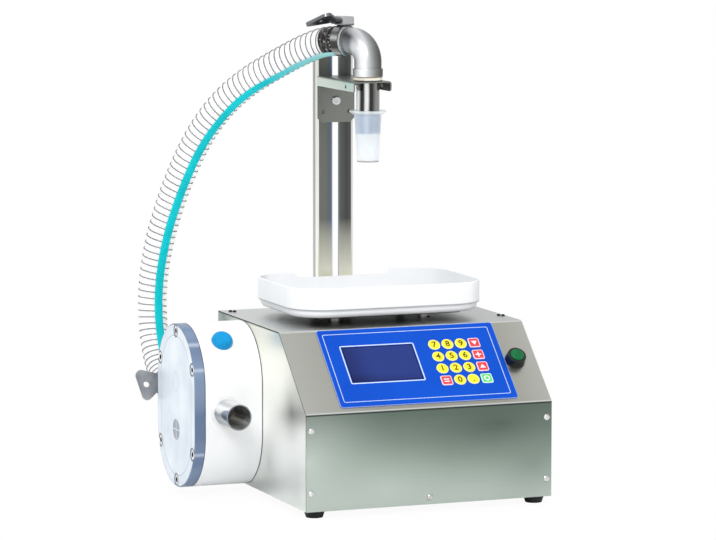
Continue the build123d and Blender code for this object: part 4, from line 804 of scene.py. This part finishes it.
for y, z in coverLook["bolts"]:
    gap = cover.reach(cover.less(across, y), cover.less(up, z))
    ring = cover.line(gap, coverLook["boltRing"], coverLook["ringWidth"], coverLook["ringRim"])
    faceTone = cover.mix(ring, faceTone, coverLook["boltTone"])
flat = cover.span(cover.math("ABSOLUTE", cover.parts(cover.facing)[0]), 0.80, 0.95)
bands = cover.ramp(cover.noise(14, (0.02, 1, 1), 2), (0.35, coverLook["edge"]), (0.8, coverLook["edgeLight"]))
for place in coverLook["bandPlaces"]:
    bands = cover.mix(cover.times(cover.line(up, place, 0.003, 0.002), 0.7), bands, coverLook["bandTone"])
coverRough = cover.add(cover.times(flat, 0.20), cover.times(cover.noise(40), 0.10))
cover.set(Base_Color=cover.mix(flat, bands, faceTone), Roughness=coverRough)
cover.set(Alpha=cover.less(coverLook["alpha"], cover.times(flat, 0.02)), IOR=1.49)
cover.set(Specular_IOR_Level=0.3, Coat_Weight=0.1, Coat_Roughness=0.1)
cover.relief(cover.noise(30), 0.02, 0.0002, 0.0006)
dress(cover, "pump_cover")


def boltTone(s, look):  # painted shade: dark hexagon sockets in bright heads
    tone = metalTone(s, look)
    middleY, middleZ = coverLook["middle"]
    for y, z in coverLook["bolts"]:
        gap = s.reach(s.less(s.y, middleY + y), s.less(s.z, middleZ + z))
        tone = s.mix(s.span(gap, *coverLook["socketRim"]), tone, coverLook["socket"])
    return tone


dress(steel("boltSteel", screwLook, boltTone), "cover_bolts")

# Polished tubes and castings: painted reflections, bright and dark bands that run from the side turned away to
# the side turned towards
polishedLook = {
    "grain": 30, "stretch": (1, 1, 1), "cloud": 12, "rough": 0.10, "roughSpread": 0.06, "bump": 0.01,
    "edge": 0.0004,
}
# painted reflections around the pipe
pipeReflectionBands = stops(
    (0.0, 236, 236, 234), (0.09, 248, 248, 246), (0.18, 58, 56, 54), (0.30, 66, 64, 62), (0.38, 252, 252, 250),
    (0.48, 252, 252, 250), (0.57, 56, 56, 54), (0.68, 58, 58, 56), (0.84, 150, 150, 146),
)
dress(banded("pipeSteel", polishedLook, (0.93, -0.36, 0), pipeReflectionBands), "nozzle_pipe")
portLook = {
    **polishedLook, "axis": (-0.214, 0.1145), "boreRim": (0.0151, 0.0149), "glow": 0.8,
    "across": (-0.018, 0.018),
    "bore": stops((0.2, 46, 45, 40), (0.45, 78, 76, 68), (0.6, 138, 136, 124), (0.72, 44, 43, 38)),
    # painted reflections around the tubes
    "bands": stops(
        (0.0, 150, 148, 146), (0.16, 60, 60, 60), (0.34, 160, 168, 176), (0.50, 120, 124, 128),
        (0.64, 226, 228, 230), (0.80, 250, 250, 250), (0.92, 190, 190, 192), (1.0, 238, 238, 240),
    ),
}
portSteel = banded("portSteel", portLook, (0, 0.1, 0.99), portLook["bands"])
sideways = portSteel.less(portSteel.x, portLook["axis"][0])
upwards = portSteel.less(portSteel.z, portLook["axis"][1])
inBore = portSteel.span(portSteel.reach(sideways, upwards), *portLook["boreRim"])
# painted light: the bore glows with a dim glint
boreShare = portSteel.span(portSteel.add(sideways, upwards), *portLook["across"])
portSteel.set(Emission_Color=portSteel.ramp(boreShare, *portLook["bore"]))
portSteel.set(Emission_Strength=portSteel.times(inBore, portLook["glow"]))
dress(portSteel, "port_tubes")
castLook = {
    "grain": 220, "stretch": (1, 1, 1), "cloud": 40, "rough": 0.36, "roughSpread": 0.10, "bump": 0.04,
    "edge": 0.0006, "legAway": (0.018, 0.012), "legUp": (0.585, 0.566),
    # painted reflections on the elbow, by the way each face turns
    "bands": stops(
        (0.0, 80, 80, 80), (0.10, 140, 144, 146), (0.34, 104, 107, 110), (0.48, 182, 184, 186),
        (0.66, 222, 223, 224), (0.78, 166, 168, 168), (0.92, 124, 126, 121), (1.0, 68, 66, 62),
    ),
    "legReflectionBands": stops(
        (0.0, 84, 84, 84), (0.10, 196, 198, 200), (0.24, 254, 254, 254), (0.38, 244, 246, 246),
        (0.52, 204, 206, 207), (0.76, 136, 138, 134), (0.90, 100, 100, 96), (1.0, 60, 58, 56),
    ),
}
castSteel = banded("castSteel", castLook, (0.86, -0.36, 0.36), castLook["bands"])
turned = castSteel.vector("DOT_PRODUCT", castSteel.facing, (0.93, -0.36, 0))
# painted reflections on the lower leg
legReflection = castSteel.ramp(castSteel.span(turned, -1, 1), *castLook["legReflectionBands"])
away = castSteel.along((0, hoseLook["nozzleY"], 0), outward)
lowEnough = castSteel.span(castSteel.z, *castLook["legUp"])
onLeg = castSteel.times(castSteel.span(away, *castLook["legAway"]), lowEnough)
castSteel.set(Base_Color=castSteel.mix(onLeg, castSteel.tone, legReflection))
dress(castSteel, "elbow")
print("stage: pump done")

# Post, bracket and nozzle
postLook = {
    **sheetLook, "stretch": (90, 90, 0.5), "halfWidth": 0.040, "lightTo": 0.262, "darkFrom": 0.335,
    "back": tint(172, 172, 166), "slotWallShade": tint(96, 106, 114), "wallRim": (-0.023, -0.021),
    "sideSpan": (0.164, 0.185),
    # painted reflections and shade: bands across the front
    "front": stops(
        (0.0, 244, 244, 238), (0.203, 244, 244, 238), (0.214, 118, 120, 112), (0.33, 114, 116, 110),
        (0.385, 106, 110, 112), (0.42, 100, 110, 126), (0.45, 176, 192, 220), (0.54, 140, 150, 162),
        (0.58, 96, 102, 96), (0.70, 78, 77, 78), (0.745, 92, 92, 92), (0.764, 56, 58, 64),
        (0.782, 226, 228, 220), (1.0, 218, 220, 212),
    ),
    # painted reflection: the front lighter low down
    "low": stops(
        (0.0, 150, 146, 134), (0.1, 250, 248, 226), (0.88, 250, 248, 230), (0.92, 130, 124, 112),
        (1.0, 230, 226, 206),
    ),
    # painted reflections on the sides
    "side": stops((0.0, 255, 255, 250), (0.5, 255, 255, 248), (0.62, 170, 170, 164), (1.0, 200, 200, 196)),
}


def postTone(s, look):
    share = s.span(s.x, -look["halfWidth"], look["halfWidth"])
    front = s.ramp(share, *look["front"])
    front = s.mix(s.span(s.z, look["darkFrom"], look["lightTo"]), front, s.ramp(share, *look["low"]))
    side = s.ramp(s.span(s.y, *look["sideSpan"]), *look["side"])
    # painted shade inside the slot
    side = s.mix(s.span(s.x, *look["wallRim"]), side, look["slotWallShade"])
    tone = s.mix(s.facingTo((-1, 0, 0)), front, side)
    return s.mix(s.facingTo((0, 1, 0)), tone, look["back"])


dress(steel("postSteel", postLook, postTone), "post")
bracketLook = {
    **sheetLook, "stretch": (60, 1, 60), "rough": 0.28, "plate": tint(134, 136, 129), "streaks": 0.04,
    "plateTop": tint(150, 150, 144), "flange": tint(232, 244, 232), "rightFlangeShade": tint(66, 64, 62),
    "sides": (0.0, 0.004),
}


def bracketTone(s, look):  # painted light and shade: the left flange is light, the inside of the right one dark, the top of the plate lighter
    tone = s.mix(s.facingTo((0, 0, 1)), look["plate"], look["plateTop"])
    flange = s.mix(s.span(s.x, *look["sides"]), look["flange"], look["rightFlangeShade"])
    return s.mix(s.facingTo((-1, 0, 0)), tone, flange)


dress(steel("bracketSteel", bracketLook, bracketTone), "nozzle_bracket")
clampLook = {
    **polishedLook, "rough": 0.18, "housingRim": (0.5945, 0.5965), "housing": tint(196, 198, 198),
    # painted reflections around the bands
    "bands": stops(
        (0.0, 40, 40, 40), (0.16, 150, 150, 148), (0.30, 52, 52, 50), (0.46, 70, 70, 68),
        (0.58, 214, 214, 212), (0.70, 90, 90, 88), (0.84, 170, 170, 168), (1.0, 44, 44, 42),
    ),
}
clampSteel = banded("clampSteel", clampLook, (0.25, -0.35, 0.9), clampLook["bands"])
onHousing = clampSteel.span(clampSteel.z, *clampLook["housingRim"])
clampSteel.set(Base_Color=clampSteel.mix(onHousing, clampSteel.tone, clampLook["housing"]))
dress(clampSteel, "upper_clamp_band", "lower_clamp_band")
wingLook = {
    **blackLook, "dark": tint(112, 116, 120), "light": tint(150, 154, 158), "rough": 0.34, "edge": 0.0008,
    "cloud": 40,
}
dress(plastic("wingGrey", wingLook), "lower_clamp_key")
# painted reflections on the dark wing
wingReflectionBands = stops(
    (0.0, 24, 24, 24), (0.35, 48, 48, 50), (0.60, 84, 86, 88), (0.80, 128, 131, 134), (1.0, 168, 170, 172),
)
upperWingLook = {**polishedLook, "rough": 0.3, "cloud": 60}
dress(banded("wingDark", upperWingLook, (-0.45, -0.35, 0.82), wingReflectionBands), "upper_clamp_key")

ringLook = {
    "tones": stops((0.3, 226, 220, 204), (0.7, 240, 236, 222)), "foot": (0.5256, 0.5250),
    "footShade": tint(24, 22, 20), "groove": 0.5292, "grooveWidth": 0.0012, "grooveTone": tint(120, 104, 66),
}
sealingRing = Surface("ringCream")
cream = sealingRing.ramp(sealingRing.noise(60, (1, 1, 1), 2), *ringLook["tones"])
# painted shade: a dark line at the foot where it sits on the bracket
cream = sealingRing.mix(sealingRing.span(sealingRing.z, *ringLook["foot"]), cream, ringLook["footShade"])
groove = sealingRing.line(sealingRing.z, ringLook["groove"], ringLook["grooveWidth"], 0.0003)
sealingRing.set(Base_Color=sealingRing.mix(groove, cream, ringLook["grooveTone"]))
sealingRing.set(Roughness=sealingRing.ramp(sealingRing.noise(300), (0.3, 0.36), (0.7, 0.44)))
sealingRing.relief(sealingRing.noise(300), 0.03, 0.0002, 0.0003)
dress(sealingRing, "sealing_ring")

tipLook = {
    "tones": stops((0.3, 244, 248, 250), (0.7, 254, 255, 255)), "alpha": 0.46, "alphaSpread": 0.1,
    "rough": 0.28,
    "blue": tint(196, 208, 228), "blueShare": 0.8, "blueFrom": (0.4555, 0.4575), "blueTo": (0.4835, 0.4815),
    "rim": tint(120, 126, 130), "rimPlace": (0.4222, 0.4212),
}
tip = Surface("tipMilky")
haze = tip.noise(90, (1, 1, 0.3), 2)
blueBand = tip.times(tip.span(tip.z, *tipLook["blueFrom"]), tip.span(tip.z, *tipLook["blueTo"]))
milk = tip.mix(tip.times(blueBand, tipLook["blueShare"]), tip.ramp(haze, *tipLook["tones"]), tipLook["blue"])
# painted shade: darker along the bottom edge
tip.set(Base_Color=tip.mix(tip.span(tip.z, *tipLook["rimPlace"]), milk, tipLook["rim"]))
tip.set(Alpha=tip.add(tip.times(haze, tipLook["alphaSpread"]), tipLook["alpha"]))
tip.set(Roughness=tipLook["rough"], Subsurface_Weight=0.2, Coat_Weight=0.2, Coat_Roughness=0.15)
tip.relief(haze, 0.05, 0.0003, 0.0005)
dress(tip, "nozzle_tip")
print("stage: post and nozzle done")


def isDressed(node):  # it has a material with more nodes than a plain one
    return any(m and m.use_nodes and len(m.node_tree.nodes) > 6 for m in node.data.materials)


print("undressed:", [name for name, node in nodes.items() if name != "hose" and not isDressed(node)])

# Floor, light and surroundings: lamps are rows of place, size, power and whether metal mirrors them
lightLook = {
    "lamps": (
        ((-1.9, -2.6, 2.6), 1.6, 58, True),
        ((2.6, -1.4, 1.6), 2.2, 15, False),
        ((-0.3, 1.6, 2.8), 3.6, 32, False),
    ),
    "aim": (0, 0, 0.28), "floorReach": 9.0, "floorTone": 0.94, "floorGlow": 0.95, "fade": (0.35, 0.9),
    "world": 0.88, "worldTone": (0.97, 0.98, 1.0, 1), "worldLow": 0.72, "worldSpan": (-0.2, 0.9),
}
for index, (place, size, power, mirrored) in enumerate(lightLook["lamps"]):
    data = bpy.data.lights.new(f"studio{index + 1}", "AREA")
    data.energy = power
    data.size = size
    data.shape = "DISK"
    lamp = bpy.data.objects.new(data.name, data)
    lamp.location = place
    lamp.rotation_euler = (Vector(lightLook["aim"]) - Vector(place)).to_track_quat("-Z", "Y").to_euler()
    lamp.visible_glossy = mirrored
    bpy.context.scene.collection.objects.link(lamp)


def feed(tree, socket, value):  # a link or a plain value
    if isinstance(value, bpy.types.NodeSocket):
        tree.links.new(value, socket)
    else:
        socket.default_value = value


def nodeOf(tree, kind, **inputs):
    node = tree.nodes.new(kind)
    for name, value in inputs.items():
        feed(tree, node.inputs[name.replace("_", " ")], value)
    return node


def joined(tree, kind, *values):  # a node with its first inputs fed in their order
    node = tree.nodes.new(kind)
    for socket, value in zip(node.inputs, values):
        feed(tree, socket, value)
    return node


def product(tree, a, b):
    node = joined(tree, "ShaderNodeMath", a, b)
    node.operation = "MULTIPLY"
    return node.outputs[0]


floorMaterial = bpy.data.materials.new("floorPale")
floorMaterial.use_nodes = True
tree = floorMaterial.node_tree
tree.nodes.clear()
rays = nodeOf(tree, "ShaderNodeLightPath")
matt = nodeOf(tree, "ShaderNodeBsdfDiffuse", Color=(*(lightLook["floorTone"],) * 3, 1))
glow = nodeOf(tree, "ShaderNodeEmission", Color=(1, 1, 1, 1), Strength=1.0)
ground = nodeOf(tree, "ShaderNodeTexCoord")
distance = joined(tree, "ShaderNodeVectorMath", ground.outputs["Object"])
distance.operation = "LENGTH"
fade = nodeOf(
    tree, "ShaderNodeMapRange", Value=distance.outputs[1], From_Min=lightLook["fade"][0],
    From_Max=lightLook["fade"][1], To_Min=lightLook["floorGlow"], To_Max=1.0,
)
share = product(tree, rays.outputs["Is Camera Ray"], fade.outputs[0])
blend = joined(tree, "ShaderNodeMixShader", share, matt.outputs[0], glow.outputs[0])
nodeOf(tree, "ShaderNodeOutputMaterial", Surface=blend.outputs[0])
floorMesh = bpy.data.meshes.new("floor")
reach = lightLook["floorReach"]
corners = [(-reach, -reach, 0), (reach, -reach, 0), (reach, reach, 0), (-reach, reach, 0)]
floorMesh.from_pydata(corners, [], [(0, 1, 2, 3)])
floorMesh.materials.append(floorMaterial)
floor = bpy.data.objects.new("floor", floorMesh)
bpy.context.scene.collection.objects.link(floor)

world = bpy.data.worlds.new("studio")
bpy.context.scene.world = world
world.use_nodes = True
tree = world.node_tree
tree.nodes.clear()
rays = nodeOf(tree, "ShaderNodeLightPath")
direction = nodeOf(tree, "ShaderNodeTexCoord")
split = joined(tree, "ShaderNodeSeparateXYZ", direction.outputs["Generated"])
height = nodeOf(
    tree, "ShaderNodeMapRange", Value=split.outputs[2], From_Min=lightLook["worldSpan"][0],
    From_Max=lightLook["worldSpan"][1], To_Min=lightLook["worldLow"], To_Max=1.0,
)
strength = product(tree, height.outputs[0], lightLook["world"])
soft = nodeOf(tree, "ShaderNodeBackground", Color=lightLook["worldTone"], Strength=strength)
clean = nodeOf(tree, "ShaderNodeBackground", Color=(1, 1, 1, 1), Strength=1.0)
blend = joined(tree, "ShaderNodeMixShader", rays.outputs["Is Camera Ray"], soft.outputs[0], clean.outputs[0])
nodeOf(tree, "ShaderNodeOutputWorld", Surface=blend.outputs[0])
bpy.context.scene.view_settings.view_transform = "Standard"
print("stage: light done")
